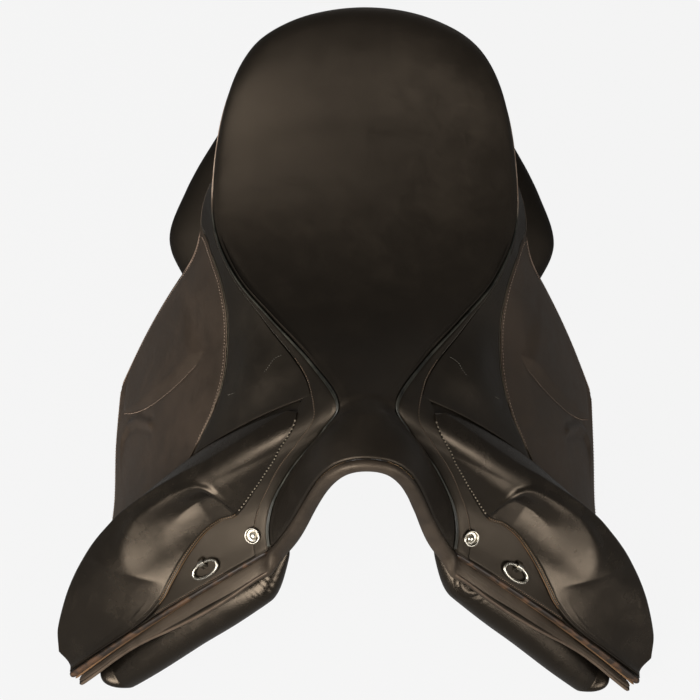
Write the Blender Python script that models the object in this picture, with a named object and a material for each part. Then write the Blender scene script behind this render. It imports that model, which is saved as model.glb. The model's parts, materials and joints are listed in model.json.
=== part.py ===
"""A dressage saddle as its separate pieces: tree and irons inside, leather and cushions outside."""
import bpy
import bmesh
from math import sin, cos, pi, radians, sqrt, exp
from mathutils import Vector

# All sizes are in metres. Y runs from the pommel to the cantle, Z is up, +X is the saddle's near side.
# Pieces are modelled with the top of the pommel's front edge at the origin, then stood on the floor.

# Seat
SEAT_LENGTH = 0.495
SEAT_WIDTH = 0.306
WAIST_WIDTH = 0.057
CANTLE_RISE = 0.050
SEAT_DIP = 0.042
POMMEL_SPREAD = 0.185
POMMEL_DROP = 0.172
SEAM_DROP = 0.055
WAIST_FLARE = 0.025
LEATHER = 0.0025
SEAT_FOAM = 0.018
FOAM_UNDER = 0.0022

# Flaps
FLAP_DROP = 0.385
FLAP_FRONT_SPREAD = 0.604
FLAP_REAR_SPREAD = 0.523
FLAP_FRONT_REACH = 0.056
FLAP_REAR_REACH = 0.256
FLAP_BULGE = 0.032
FLAP_CORE = 0.0037
FACING = 0.0013
EDGE_ROLL = 0.0036

# Layers under the flap, measured inward from its outer face
BILLET_DEPTH = 0.0110
SWEAT_DEPTH = 0.0185
SWEAT_FLAP = 0.0030
SWEAT_LONGER = 0.010
SWEAT_FORWARD = 0.017

# Knee block
BLOCK_HEIGHT = 0.068
BLOCK_SCOOP = 0.012
BLOCK_LIP = 0.003
SCOOP_SHARE = 0.6
BLOCK_EDGE = 0.006

# Panel cushion and its front roll
PANEL_REAR_SPREAD = 0.408
FRONT_ROLL_THICK = 0.046
FRONT_ROLL_FORWARD = 0.042

# Tree and irons
PLATE = 0.0025
ARCH_WOOD = 0.010
ARCH_FROM = 0.012
ARCH_DEEP = 0.030
RAIL_WIDTH = 0.024
RAIL_THICK = 0.010
BAR_LENGTH = 0.075
BAR_WIDTH = 0.010
BAR_THICK = 0.006
BAR_SLOT = 0.009
CATCH_LENGTH = 0.014
RIVET_RADIUS = 0.0030
RIVET_HEIGHT = 0.0014

# Girth billets
BILLET_WIDTH = 0.025
BILLET_THICK = 0.0035
BILLET_HOLE = 0.0024
BILLET_PITCH = 0.025
BILLET_HOLES = 5
WEB_THICK = 0.0020

# Metal fittings on the front
RING_LONG = 0.030
RING_WIDE = 0.017
RING_WIRE = 0.0016
RING_LIFT = 0.0014
STUD_RADIUS = 0.0085
STUD_HEIGHT = 0.0036
PIPING = 0.0014
PIPING_ROOM = 0.0012

# Fits
GAP = 0.0004
LOOSE = 0.0010


def clear_scene():
    for item in list(bpy.data.objects):
        bpy.data.objects.remove(item, do_unlink=True)


def material(name, colour, roughness, metallic=0.0):
    found = bpy.data.materials.get(name)
    if found:
        return found
    made = bpy.data.materials.new(name)
    made.use_nodes = True
    shader = made.node_tree.nodes["Principled BSDF"]
    shader.inputs["Base Color"].default_value = (*colour, 1.0)
    shader.inputs["Roughness"].default_value = roughness
    shader.inputs["Metallic"].default_value = metallic
    return made


def black_leather():
    return material("black_leather", (0.020, 0.018, 0.015), 0.38)


def brown_leather():
    return material("brown_leather", (0.060, 0.040, 0.028), 0.50)


def lining_leather():
    return material("lining_leather", (0.095, 0.070, 0.055), 0.52)


def steel():
    return material("steel", (0.42, 0.42, 0.43), 0.35, 1.0)


def nickel():
    return material("nickel", (0.72, 0.69, 0.62), 0.18, 1.0)


def beech():
    return material("beech_laminate", (0.52, 0.35, 0.19), 0.60)


def webbing():
    return material("webbing", (0.55, 0.52, 0.44), 0.85)


def foam():
    return material("foam", (0.75, 0.70, 0.50), 0.90)


# Small geometry helpers

def spline(points, at):
    """Smooth curve through all points; at runs from 0 to the number of points less one."""
    last = len(points) - 1
    step = min(max(int(at), 0), last - 1)
    t = at - step
    a, b, c, d = (
        points[max(step - 1, 0)],
        points[step],
        points[step + 1],
        points[min(step + 2, last)],
    )
    if step == 0:
        a = tuple(2 * u - v for u, v in zip(b, c))
    if step == last - 1:
        d = tuple(2 * u - v for u, v in zip(c, b))
    if t < 0 or t > 1:
        end, other = (b, c) if t < 0 else (c, b)
        beyond = -t if t < 0 else t - 1
        return tuple(u + (u - v) * beyond for u, v in zip(end, other))
    return tuple(
        0.5 * (2 * q + (r - p) * t + (2 * p - 5 * q + 4 * r - s) * t * t + (3 * q - p - 3 * r + s) * t ** 3)
        for p, q, r, s in zip(a, b, c, d)
    )


def along(values, share):
    """Smooth value of a list of numbers at a share of its length, from 0 to 1."""
    return spline([(v,) for v in values], share * (len(values) - 1))[0]


def mix(a, b, t):
    return a + (b - a) * t


def bezier(p0, p1, p2, p3, t):
    s = 1 - t
    return s ** 3 * p0 + 3 * s * s * t * p1 + 3 * s * t * t * p2 + t ** 3 * p3


def smooth_step(t):
    t = min(max(t, 0.0), 1.0)
    return t * t * (3 - 2 * t)


def make_object(name, verts, faces, finish, smooth=True):
    mesh = bpy.data.meshes.new(name)
    mesh.from_pydata([tuple(v) for v in verts], [], faces)
    bm = bmesh.new()
    bm.from_mesh(mesh)
    bmesh.ops.recalc_face_normals(bm, faces=bm.faces)
    bmesh.ops.triangulate(bm, faces=[f for f in bm.faces if len(f.verts) > 4])
    bm.to_mesh(mesh)
    bm.free()
    if smooth:
        mesh.shade_smooth()
        mesh.set_sharp_from_angle(angle=radians(40))
    mesh.materials.append(finish)
    item = bpy.data.objects.new(name, mesh)
    bpy.context.scene.collection.objects.link(item)
    return item


def plate(name, low, high, finish):
    """Closed solid between two grids of points of the same size, given as rows."""
    rows, cols = len(low), len(low[0])
    verts = [p for row in low for p in row] + [p for row in high for p in row]
    top = rows * cols

    def at(layer, i, j):
        return layer * top + i * cols + j

    faces = []
    for i in range(rows - 1):
        for j in range(cols - 1):
            faces.append((at(0, i, j), at(0, i, j + 1), at(0, i + 1, j + 1), at(0, i + 1, j)))
            faces.append((at(1, i, j), at(1, i + 1, j), at(1, i + 1, j + 1), at(1, i, j + 1)))
    rim = [(0, j) for j in range(cols)] + [(i, cols - 1) for i in range(1, rows)]
    rim += [(rows - 1, j) for j in range(cols - 2, -1, -1)] + [(i, 0) for i in range(rows - 2, 0, -1)]
    for k, (i, j) in enumerate(rim):
        m, n = rim[(k + 1) % len(rim)]
        faces.append((at(0, i, j), at(1, i, j), at(1, m, n), at(0, m, n)))
    return make_object(name, verts, faces, finish)


def loft(name, rings, finish):
    """Closed solid through rings of points, with flat fans at its two ends."""
    count = len(rings[0])
    verts = [p for ring in rings for p in ring]
    faces = []
    for i in range(len(rings) - 1):
        for j in range(count):
            k = (j + 1) % count
            faces.append((i * count + j, i * count + k, (i + 1) * count + k, (i + 1) * count + j))
    for start in (0, (len(rings) - 1) * count):
        verts.append(sum((Vector(verts[start + j]) for j in range(count)), Vector()) / count)
        for j in range(count):
            faces.append((start + j, start + (j + 1) % count, len(verts) - 1))
    return make_object(name, verts, faces, finish)


def sweep(name, path, half_wide, half_thick, finish, sides=8, ups=None, ends=0.45):
    """Oval tube along a path; each ring's thickness follows ups, the direction off the surface."""
    rings = []
    last = len(path) - 1
    for i, point in enumerate(path):
        ahead = path[min(i + 1, last)] - path[max(i - 1, 0)]
        ahead.normalize()
        up = ups[i] if ups else Vector((0, 0, 1))
        across = ahead.cross(up).normalized()
        up = across.cross(ahead).normalized()
        size = ends if i in (0, last) else 1.0
        rings.append([
            point + across * (cos(2 * pi * k / sides) * half_wide * size)
            + up * (sin(2 * pi * k / sides) * half_thick * size)
            for k in range(sides)
        ])
    return loft(name, rings, finish)


def framed_box(name, centre, axes, halves, finish):
    """Box about a centre, along three given directions."""
    u, v, w = axes
    a, b, c = halves
    low = [[centre + u * s * a + v * t * b - w * c for t in (-1, 1)] for s in (-1, 1)]
    high = [[centre + u * s * a + v * t * b + w * c for t in (-1, 1)] for s in (-1, 1)]
    return plate(name, low, high, finish)


def turned(name, centre, axis, profile, finish, sides=16):
    """Solid turned about an axis from (radius, height) pairs, closed at both ends."""
    axis = axis.normalized()
    u = axis.orthogonal().normalized()
    v = axis.cross(u)
    rings = [
        [centre + axis * h + (u * cos(2 * pi * k / sides) + v * sin(2 * pi * k / sides)) * r for k in range(sides)]
        for r, h in profile
    ]
    return loft(name, rings, finish)


# The seat: a smooth surface through cross curves from the cantle to the pommel's front edge.
# Each cross curve runs from the centre line to the seam where the seat meets the border.

HALF_SEAT = SEAT_WIDTH / 2
HALF_WAIST = WAIST_WIDTH / 2
HALF_POMMEL = POMMEL_SPREAD / 2
LONG = SEAT_LENGTH / 0.495

CENTRE_LINE = [
    (0.502 * LONG, CANTLE_RISE - 0.020),
    (0.487 * LONG, CANTLE_RISE),
    (0.450 * LONG, CANTLE_RISE - 0.008),
    (0.380 * LONG, 0.004),
    (0.300 * LONG, -0.72 * SEAT_DIP),
    (0.230 * LONG, -SEAT_DIP),
    (0.170 * LONG, -0.86 * SEAT_DIP),
    (0.115 * LONG, -0.43 * SEAT_DIP),
    (0.068 * LONG, -0.005),
    (0.050 * LONG, 0.000),
    (0.040 * LONG, 0.001),
    (0.030, 0.0015),
    (0.020, 0.0015),
    (0.010, 0.001),
    (0.000, 0.000),
]
SEAM_LINE = [
    (0.68 * HALF_SEAT, 0.471 * LONG, 0.218 * SEAM_DROP),
    (0.82 * HALF_SEAT, 0.446 * LONG, 0.109 * SEAM_DROP),
    (0.94 * HALF_SEAT, 0.402 * LONG, -0.236 * SEAM_DROP),
    (1.00 * HALF_SEAT, 0.345 * LONG, -0.727 * SEAM_DROP),
    (0.99 * HALF_SEAT, 0.290 * LONG, -SEAM_DROP),
    (0.85 * HALF_SEAT, 0.230 * LONG, -0.909 * SEAM_DROP),
    (0.61 * HALF_SEAT, 0.175 * LONG, -0.745 * SEAM_DROP),
    (HALF_WAIST + WAIST_FLARE, 0.117 * LONG, -0.491 * SEAM_DROP),
    (HALF_WAIST, 0.066 * LONG, -0.255 * SEAM_DROP),
    (HALF_WAIST + 0.52 * WAIST_FLARE, 0.0515 * LONG, -0.256 * POMMEL_DROP),
    (0.64 * HALF_POMMEL, 0.0447 * LONG, -0.448 * POMMEL_DROP),
    (0.81 * HALF_POMMEL, 0.0374 * LONG, -0.628 * POMMEL_DROP),
    (0.957 * HALF_POMMEL, 0.0247 * LONG, -0.814 * POMMEL_DROP),
    (1.016 * HALF_POMMEL, 0.0068 * LONG, -0.936 * POMMEL_DROP),
    (HALF_POMMEL, -0.012 * LONG, -POMMEL_DROP),
]
FULLNESS = [0.45, 0.50, 0.50, 0.50, 0.50, 0.50, 0.50, 0.50, 0.53, 0.56, 0.60, 0.65, 0.67, 0.67, 0.67]
SHOULDER = [0.82, 0.98, 1.03, 1.05, 1.05, 1.04, 1.02, 1.00, 0.95, 0.88, 0.82, 0.77, 0.68, 0.61, 0.595]
DROP_SHARE = [0.30, 0.25, 0.30, 0.42, 0.50, 0.50, 0.45, 0.42, 0.40, 0.42, 0.44, 0.49, 0.54, 0.575, 0.58]
SEAT_STATIONS = len(CENTRE_LINE) - 1
SEAT_ROWS = 30


def seam_point(station):
    return Vector(spline(SEAM_LINE, station))


def seat_point(u, v):
    """Point of the seat's top: u from the cantle (0) to the pommel (1), v across from -1 to 1."""
    station = u * SEAT_STATIONS
    centre_y, centre_z = spline(CENTRE_LINE, station)
    seam = seam_point(station)
    full = along(FULLNESS, u)
    shoulder = along(SHOULDER, u)
    drop = along(DROP_SHARE, u)
    t = abs(v)
    x = bezier(0.0, full * seam.x, shoulder * seam.x, seam.x, t)
    y = bezier(centre_y, centre_y, mix(centre_y, seam.y, 0.62), seam.y, t)
    z = bezier(centre_z, centre_z, mix(centre_z, seam.z, drop), seam.z, t)
    return Vector((x if v >= 0 else -x, y, z))


def seat_normal(u, v):
    step = 0.004
    du = seat_point(min(u + step, 1.0), v) - seat_point(max(u - step, 0.0), v)
    dv = seat_point(u, min(v + step, 1.0)) - seat_point(u, max(v - step, -1.0))
    return du.cross(dv).normalized()


def seat_edge(u):
    """How far across the leather goes before the groove of the piped seam."""
    seam = seat_point(u, 1.0)
    run = (seat_point(min(u + 0.01, 1.0), 1.0) - seat_point(max(u - 0.01, 0.0), 1.0)).normalized()
    v = 1.0
    while (seat_point(u, v) - seam).cross(run).length < PIPING + PIPING_ROOM:
        v -= 0.004
    return v


# The side: a smooth surface from the seat's seam down to the bottom edge of the flap.
# p runs from the front edge (0) to the rear edge (1), f from the seam (0) to the bottom (1).

SIDE_SEAM_STATIONS = [14.0, 11.3, 8.0, 6.8, 5.7, 4.1]
SIDE_BOTTOM = [
    (FLAP_FRONT_SPREAD / 2, -FLAP_FRONT_REACH, -FLAP_DROP),
    (mix(FLAP_FRONT_SPREAD, FLAP_REAR_SPREAD, 0.30) / 2, -0.18 * FLAP_FRONT_REACH, -FLAP_DROP),
    (mix(FLAP_FRONT_SPREAD, FLAP_REAR_SPREAD, 0.76) / 2, 0.245 * FLAP_REAR_REACH, -FLAP_DROP),
    (FLAP_REAR_SPREAD / 2, 0.53 * FLAP_REAR_REACH, -FLAP_DROP),
    (FLAP_REAR_SPREAD / 2, 0.82 * FLAP_REAR_REACH, -FLAP_DROP + 0.008),
    (FLAP_REAR_SPREAD / 2 - 0.006, FLAP_REAR_REACH, -FLAP_DROP + 0.062),
]
SIDE_BULGE = [0.30 * FLAP_BULGE, 0.70 * FLAP_BULGE, 0.97 * FLAP_BULGE, FLAP_BULGE, 0.60 * FLAP_BULGE, 0.0]
SIDE_REARWARD = [-0.005, 0.0, 0.0, 0.0, 0.008, 0.022]


SIDE_LENGTH = 0.33
REAR_STATIONS = 6.1


def side_point(p, f, side=1):
    """Outer face of the flap and of the leather above it; past its rear end it keeps to the seat's seam."""
    beyond = p - min(max(p, 0.0), 1.0)
    p = p - beyond
    station = spline([(s,) for s in SIDE_SEAM_STATIONS], p * 5)[0]
    seam = seam_point(station - max(beyond, 0.0) * REAR_STATIONS)
    seam.y += min(beyond, 0.0) * SIDE_LENGTH
    bottom = Vector(spline(SIDE_BOTTOM, p * 5))
    bottom.y += beyond * SIDE_LENGTH
    chord = bottom - seam
    off = Vector((-chord.z, 0, chord.x)).normalized()
    arch = 4 * f * (1 - f)
    point = seam + chord * f + off * (arch * along(SIDE_BULGE, p)) + Vector((0, arch * along(SIDE_REARWARD, p), 0))
    return Vector((side * point.x, point.y, point.z))


def side_normal(p, f, side=1):
    step = 0.01
    p = min(max(p, 0.0), 1.0)
    dp = side_point(min(p + step, 1.0), f) - side_point(max(p - step, 0.0), f)
    df = side_point(p, f + step) - side_point(p, f - step)
    normal = dp.cross(df).normalized()
    if normal.x < 0:
        normal = -normal
    return Vector((side * normal.x, normal.y, normal.z))


def on_side(p, f, off, side=1):
    return side_point(p, f, side) + side_normal(p, f, side) * off


def side_sheet(name, region, low, high, counts, side, finish):
    """Leather sheet or pad on the side surface; region(a, b) gives p and f, low and high its two faces."""
    n_a, n_b = counts

    def grid(level):
        rows = []
        for i in range(n_a + 1):
            row = []
            for j in range(n_b + 1):
                a, b = i / n_a, j / n_b
                p, f = region(a, b)
                off = level(a, b) if callable(level) else level
                row.append(on_side(p, f, off, side))
            rows.append(row)
        return rows

    return plate(name, grid(low), grid(high), finish)


# Lines drawn on the side surface, as f at a share of p

BORDER_F = [0.060, 0.062, 0.064, 0.084, 0.068, 0.040, 0.031, 0.028, 0.023, 0.018, 0.018]
APRON_F = [0.115, 0.120, 0.126, 0.128, 0.116, 0.104, 0.110, 0.123, 0.104, 0.076]
APRON_REACH = 0.44
GAP_P = [0.42, 0.504, 0.595, 0.662, 0.739, 0.783, 0.845, 0.910, 0.986, 1.066]
GAP_F = [0.52, 0.424, 0.323, 0.255, 0.202, 0.170, 0.122, 0.086, 0.091, 0.135]


def border_f(p):
    return along(BORDER_F, p)


def gap_f(p):
    """Where the skirt ends and the flap's facing begins, at a place p along the side."""
    for k in range(len(GAP_P) - 1):
        if p <= GAP_P[k + 1] or k == len(GAP_P) - 2:
            t = (p - GAP_P[k]) / (GAP_P[k + 1] - GAP_P[k])
            return spline([(v,) for v in GAP_F], k + t)[0]
    return GAP_F[-1]


# The block's outline on the side surface, from its tip at the top to its foot: inner and rear edge
BLOCK_INNER = [(0.424, 0.104), (0.355, 0.136), (0.285, 0.122), (0.222, 0.117), (0.167, 0.147), (0.178, 0.218),
               (0.172, 0.275), (0.145, 0.321), (0.112, 0.366), (0.074, 0.411), (0.040, 0.458), (0.024, 0.570),
               (0.022, 0.780), (0.026, 0.980)]
BLOCK_REAR = [(0.436, 0.124), (0.446, 0.200), (0.452, 0.300), (0.457, 0.410), (0.448, 0.520), (0.427, 0.620),
              (0.390, 0.720), (0.322, 0.815), (0.250, 0.900), (0.165, 0.965), (0.085, 0.990)]
BLOCK_RISE = [0.05, 0.09, 0.16, 0.25, 0.38, 0.54, 0.64, 0.69, 0.65, 0.50, 0.26]


def block_outline(t, w):
    inner = spline(BLOCK_INNER, t * (len(BLOCK_INNER) - 1))
    rear = spline(BLOCK_REAR, t * (len(BLOCK_REAR) - 1))
    return mix(inner[0], rear[0], w), mix(inner[1], rear[1], w)


# The hollow in the front of the block: how far it reaches across, at places along the block
HOLLOW_T = [0.285, 0.32, 0.35, 0.38, 0.44, 0.50, 0.56, 0.62, 0.66, 0.69, 0.705, 0.725]
HOLLOW_W = [-0.06, 0.19, 0.42, 0.54, 0.575, 0.585, 0.585, 0.55, 0.49, 0.40, 0.22, -0.06]


def hollow_edge(t):
    if t <= HOLLOW_T[0] or t >= HOLLOW_T[-1]:
        return HOLLOW_W[0]
    k = max(i for i, place in enumerate(HOLLOW_T) if place <= t)
    return mix(HOLLOW_W[k], HOLLOW_W[k + 1], (t - HOLLOW_T[k]) / (HOLLOW_T[k + 1] - HOLLOW_T[k]))


def block_height(t, w):
    """Height of the block above the flap: low at its stitched edge, high at the ridge, then steeply down."""
    ridge = 0.80
    share = along(BLOCK_RISE, t)
    low = BLOCK_EDGE * min(1.0, 0.4 + share)
    if w <= ridge:
        s = w / ridge
        face = mix(s, s ** 1.6, 0.5)
    else:
        face = sqrt((1 - w) / (1 - ridge))
    inside = hollow_edge(t) - w
    scoop = BLOCK_SCOOP * smooth_step(inside / 0.18) * smooth_step(w / 0.12)
    lip = BLOCK_LIP * exp(-((inside + 0.05) / 0.08) ** 2) * smooth_step((t - 0.30) / 0.08) * smooth_step((0.76 - t) / 0.06)
    rise = low + (BLOCK_HEIGHT * share - low) * face
    return rise - min(scoop, SCOOP_SHARE * rise) + lip


# Pieces of the seat

def seat_sheet(name, u_range, v_reach, low, high, counts, finish):
    n_u, n_v = counts

    def grid(level):
        rows = []
        for i in range(n_u + 1):
            row = []
            for j in range(n_v + 1):
                u = mix(u_range[0], u_range[1], i / n_u)
                v = mix(-v_reach(u), v_reach(u), j / n_v)
                off = level(u, v) if callable(level) else level
                row.append(seat_point(u, v) + seat_normal(u, v) * off)
            rows.append(row)
        return rows

    return plate(name, grid(low), grid(high), finish)


def seat_cover():
    return seat_sheet("seat_cover", (0.0, 1.0), seat_edge, -LEATHER, 0.0, (SEAT_ROWS, 16), black_leather())


def seat_cushion():
    top = -(LEATHER + FOAM_UNDER)

    def bottom(u, v):
        return top - 0.004 - SEAT_FOAM * (1 - abs(v) ** 3) * smooth_step(u / 0.20) * smooth_step((0.56 - u) / 0.10)

    return seat_sheet("seat_foam", (0.06, 0.54), lambda u: 0.72, bottom, top, (14, 8), foam())


def seat_web():
    top = -(LEATHER + FOAM_UNDER + 0.004 + SEAT_FOAM + 2 * LOOSE)
    return seat_sheet("seat_webbing", (0.24, 0.49), lambda u: 0.36, top - WEB_THICK, top, (8, 4), webbing())


# Head of the tree

def arch_point(v, y, off):
    """Point of the pommel's arch: v from -1 to 1 across it, off outward from the leather's face."""
    t = abs(v)
    x = bezier(0.0, 0.67 * HALF_POMMEL, 0.595 * HALF_POMMEL, HALF_POMMEL, t)
    z = bezier(0.0, 0.0, -0.58 * POMMEL_DROP, -POMMEL_DROP, t)
    dx = bezier(0.0, 0.67 * HALF_POMMEL, 0.595 * HALF_POMMEL, HALF_POMMEL, t + 0.01) - x
    dz = bezier(0.0, 0.0, -0.58 * POMMEL_DROP, -POMMEL_DROP, t + 0.01) - z
    normal = Vector((-dz, 0, dx)).normalized()
    point = Vector((x, y + 0.07 * z, z)) + normal * off
    return Vector((point.x if v >= 0 else -point.x, point.y, point.z))


def arch_band(name, depth_from, depth_to, reach, y_from, y_to, finish, counts=(20, 2)):
    def grid(off):
        return [
            [arch_point(mix(-reach, reach, i / counts[0]), mix(y_from, y_to, j / counts[1]), -off)
             for j in range(counts[1] + 1)]
            for i in range(counts[0] + 1)
        ]

    return plate(name, grid(depth_to), grid(depth_from), finish)


HEAD_PLATE_AT = LEATHER + 0.0035
ARCH_AT = HEAD_PLATE_AT + PLATE + GAP
GULLET_PLATE_AT = ARCH_AT + ARCH_WOOD + GAP


def head():
    front, rear = ARCH_FROM, ARCH_FROM + ARCH_DEEP
    arch_band("head_plate", HEAD_PLATE_AT, HEAD_PLATE_AT + PLATE, 0.80, front + 0.003, rear - 0.004, steel())
    arch_band("head_arch", ARCH_AT, ARCH_AT + ARCH_WOOD, 0.90, front, rear, beech())
    arch_band("gullet_plate", GULLET_PLATE_AT, GULLET_PLATE_AT + PLATE, 0.86, front, rear - 0.002, steel())


def arch_lining():
    """Rolled leather round the front of the arch and on down to where the flaps begin."""
    steps = 20
    inset, lead = -0.0085, -0.0035
    middle = [arch_point(mix(-0.97, 0.97, i / steps), lead, inset) for i in range(steps + 1)]
    ups = [arch_point(mix(-0.97, 0.97, i / steps), lead, 0.01) - middle[i] for i in range(steps + 1)]
    path = middle
    for side in (-1, 1):
        for f, depth in ((0.030, 0.0072), (0.065, 0.0066), (0.104, 0.0060)):
            normal = side_normal(0.0, f, side)
            point = side_point(0.0, f, side) - normal * depth + Vector((0, lead - 0.0020, 0))
            if side < 0:
                path, ups = [point] + path, [normal] + ups
            else:
                path, ups = path + [point], ups + [normal]
    return sweep("arch_lining", path, 0.0050, 0.0068, lining_leather(), 8, ups, 0.6)


# Rails and cantle

RAIL_LINE = [
    (0.036, 0.050, -0.090),
    (0.047, 0.100, -0.084),
    (0.060, 0.170, -0.084),
    (0.078, 0.250, -0.088),
    (0.092, 0.330, -0.070),
    (0.098, 0.392, -0.042),
]


def rail_point(share, side):
    x, y, z = spline(RAIL_LINE, share * (len(RAIL_LINE) - 1))
    return Vector((side * x, y * LONG, z))


def box_path(name, path, across_of, half_wide, half_thick, finish):
    rings = []
    last = len(path) - 1
    for i, point in enumerate(path):
        ahead = (path[min(i + 1, last)] - path[max(i - 1, 0)]).normalized()
        across = across_of(i, ahead)
        across = (across - ahead * across.dot(ahead)).normalized()
        up = across.cross(ahead).normalized()
        rings.append([point + across * s * half_wide + up * t * half_thick for s, t in
                      ((1, 1), (1, -1), (-1, -1), (-1, 1))])
    return loft(name, rings, finish)


def rails():
    for side, word in ((-1, "right"), (1, "left")):
        path = [rail_point(i / 12, side) for i in range(13)]
        box_path("rail_" + word, path, lambda i, ahead, s=side: Vector((s, 0, -0.35)),
                 RAIL_WIDTH / 2, RAIL_THICK / 2, beech())


def cantle_board():
    """Curved board that joins the rails at the rear and carries the cantle."""
    steps = 16
    rows_low, rows_high = [], []
    for i in range(steps + 1):
        turn = mix(-1.0, 1.0, i / steps) * radians(82)
        x = 0.112 * sin(turn)
        y = (0.392 + 0.064 * cos(turn)) * LONG
        low_z = mix(-0.051, -0.015, cos(turn))
        outward = Vector((sin(turn), cos(turn), 0)).normalized()
        base = Vector((x, y, low_z))
        top = base + Vector((0, 0, mix(0.015, 0.020, cos(turn)))) + outward * 0.003
        rows_low.append([base - outward * 0.004, top - outward * 0.004])
        rows_high.append([base + outward * 0.004, top + outward * 0.004])
    return plate("cantle_board", rows_low, rows_high, beech())


WALL_FROM = 4.8
WALL_INSET = 0.0045
WALL_LEAN = 0.0060
WALL_FOOT = -0.036
WALL_FOOT_MIDDLE = -0.016
WALL_CLEAR = 0.0026
WALL_STEPS = 16


def wall_foot(x, y):
    """Height of the wall's lower edge: on the cushions, and free above the channel between them."""
    top = panel_top(abs(x), y)
    free = mix(WALL_FOOT, WALL_FOOT_MIDDLE, smooth_step(1 - abs(x) / (HALF_SEAT / 2)))
    return free if top is None else top + WALL_CLEAR


def cantle_facing():
    """Leather wall under the rear half of the seat, from its seam down to the panels."""
    one_side = [seam_point(WALL_FROM * (1 - i / WALL_STEPS)) for i in range(WALL_STEPS)]
    rear = [seat_point(0.0, mix(1.0, -1.0, i / 14)) for i in range(15)]
    rim = one_side + rear + [Vector((-point.x, point.y, point.z)) for point in reversed(one_side)]
    low, high = [], []
    for i, point in enumerate(rim):
        run = rim[min(i + 1, len(rim) - 1)] - rim[max(i - 1, 0)]
        out = Vector((run.y, -run.x, 0)).normalized()
        top = point - out * WALL_INSET - Vector((0, 0, LEATHER + 2 * GAP))
        foot = point - out * (WALL_INSET + WALL_LEAN)
        inner = foot - out * LEATHER
        foot.z = max(wall_foot(foot.x, foot.y), wall_foot(inner.x, inner.y))
        middle = (top + foot) / 2 + out * 0.002
        low.append([foot - out * LEATHER, middle - out * LEATHER, top - out * LEATHER])
        high.append([foot, middle, top])
    return plate("cantle_facing", low, high, black_leather())


# Stirrup bars

def bar_frame(side):
    centre = Vector((0.0765, 0.140 * LONG, -0.0765))
    ahead = Vector((0.46, 0.86, -0.20)).normalized()
    out = Vector((0.62, -0.36, 0.70)).normalized()
    out = (out - ahead * out.dot(ahead)).normalized()
    down = ahead.cross(out).normalized()
    if down.z > 0:
        down = -down
    return [Vector((side * v.x, v.y, v.z)) for v in (centre, ahead, out, down)]


def stirrup_bar(side, word):
    """Forged bar: a foot at its front rises to an arm that runs back; the leather hangs round the arm."""
    centre, ahead, out, down = bar_frame(side)
    half = BAR_LENGTH / 2
    rise = BAR_SLOT + BAR_THICK / 2
    outline = [
        (-half - 0.034, -BAR_THICK / 2), (-half + 0.014, -BAR_THICK / 2), (-half + 0.014, rise - BAR_THICK / 2),
        (half, rise - BAR_THICK / 2), (half, rise + BAR_THICK / 2), (-half - 0.002, rise + BAR_THICK / 2),
        (-half - 0.014, BAR_THICK / 2), (-half - 0.034, BAR_THICK / 2),
    ]
    low = [centre + ahead * a + out * b - down * BAR_WIDTH / 2 for a, b in outline]
    high = [centre + ahead * a + out * b + down * BAR_WIDTH / 2 for a, b in outline]
    count = len(outline)
    faces = [tuple(range(count)), tuple(range(2 * count - 1, count - 1, -1))]
    for k in range(count):
        n = (k + 1) % count
        faces.append((k, n, count + n, count + k))
    return make_object("stirrup_bar_" + word, low + high, faces, steel(), smooth=False)


def bar_catch(side, word):
    """Thumb catch at the open end of the bar; it folds inward to shut the slot."""
    centre, ahead, out, down = bar_frame(side)
    middle = centre + ahead * (BAR_LENGTH / 2 + CATCH_LENGTH / 2 + GAP) + out * (BAR_SLOT + BAR_THICK / 2)
    item = framed_box("bar_catch_" + word, middle, (ahead, out, down),
                      (CATCH_LENGTH / 2, BAR_THICK / 2, BAR_WIDTH / 2), steel())
    set_origin(item, middle - ahead * (CATCH_LENGTH / 2) - down * (BAR_WIDTH / 2))
    return item


def bar_rivets(side, word):
    """Two rivet heads that hold the bar's foot to the rail."""
    centre, ahead, out, down = bar_frame(side)
    for number, reach in ((1, 0.0200), (2, 0.0290)):
        at = centre - ahead * (BAR_LENGTH / 2 + reach) + out * (BAR_THICK / 2 + GAP)
        turned("bar_rivet_%d_%s" % (number, word), at, out,
               [(RIVET_RADIUS, 0.0), (RIVET_RADIUS, 0.5 * RIVET_HEIGHT), (0.5 * RIVET_RADIUS, RIVET_HEIGHT)],
               steel(), 10)


def set_origin(item, point):
    """Put a piece's origin on its joint axis and leave the piece where it is."""
    offset = point - item.location
    for vert in item.data.vertices:
        vert.co -= offset
    item.location = point


# Flap side pieces

def border_start(p):
    """How far below the seam the border begins, so that the piping has its groove."""
    seam_run = side_point(p + 0.01, 0.0) - side_point(p - 0.01, 0.0)
    down = (side_point(p, 0.02) - side_point(p, 0.0)) / 0.02
    slant = max(seam_run.normalized().cross(down).length, 0.02)
    return (PIPING + 1.4 * PIPING_ROOM) / slant + 0.004 * smooth_step(1 - abs(p - 0.37) / 0.06)


BORDER_FIRST = 0.004
BORDER_LAST = 0.966
REAR_P = [0.980, 1.000, 1.030, 1.066, 1.100, 1.130, 1.150, 1.165]
REAR_F = [0.082, 0.084, 0.103, 0.126, 0.117, 0.097, 0.067, 0.030]


def border(side, word):
    """Leather strip below the seat's seam; behind the skirt it widens to the flap's rear corner."""
    steps = 32
    places = [(mix(BORDER_FIRST, BORDER_LAST, i / steps), None) for i in range(steps + 1)]
    places += list(zip(REAR_P, REAR_F))

    def grid(off):
        rows = []
        for p, far in places:
            near = border_start(p)
            far = border_f(p) - 0.003 if far is None else far
            rows.append([on_side(p, mix(near, far, b / 2), off, side) for b in range(3)])
        return rows

    return plate("seat_border_" + word, grid(-LEATHER), grid(0.0005), black_leather())


def apron_f(p):
    return along(APRON_F, p / APRON_REACH)


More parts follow.
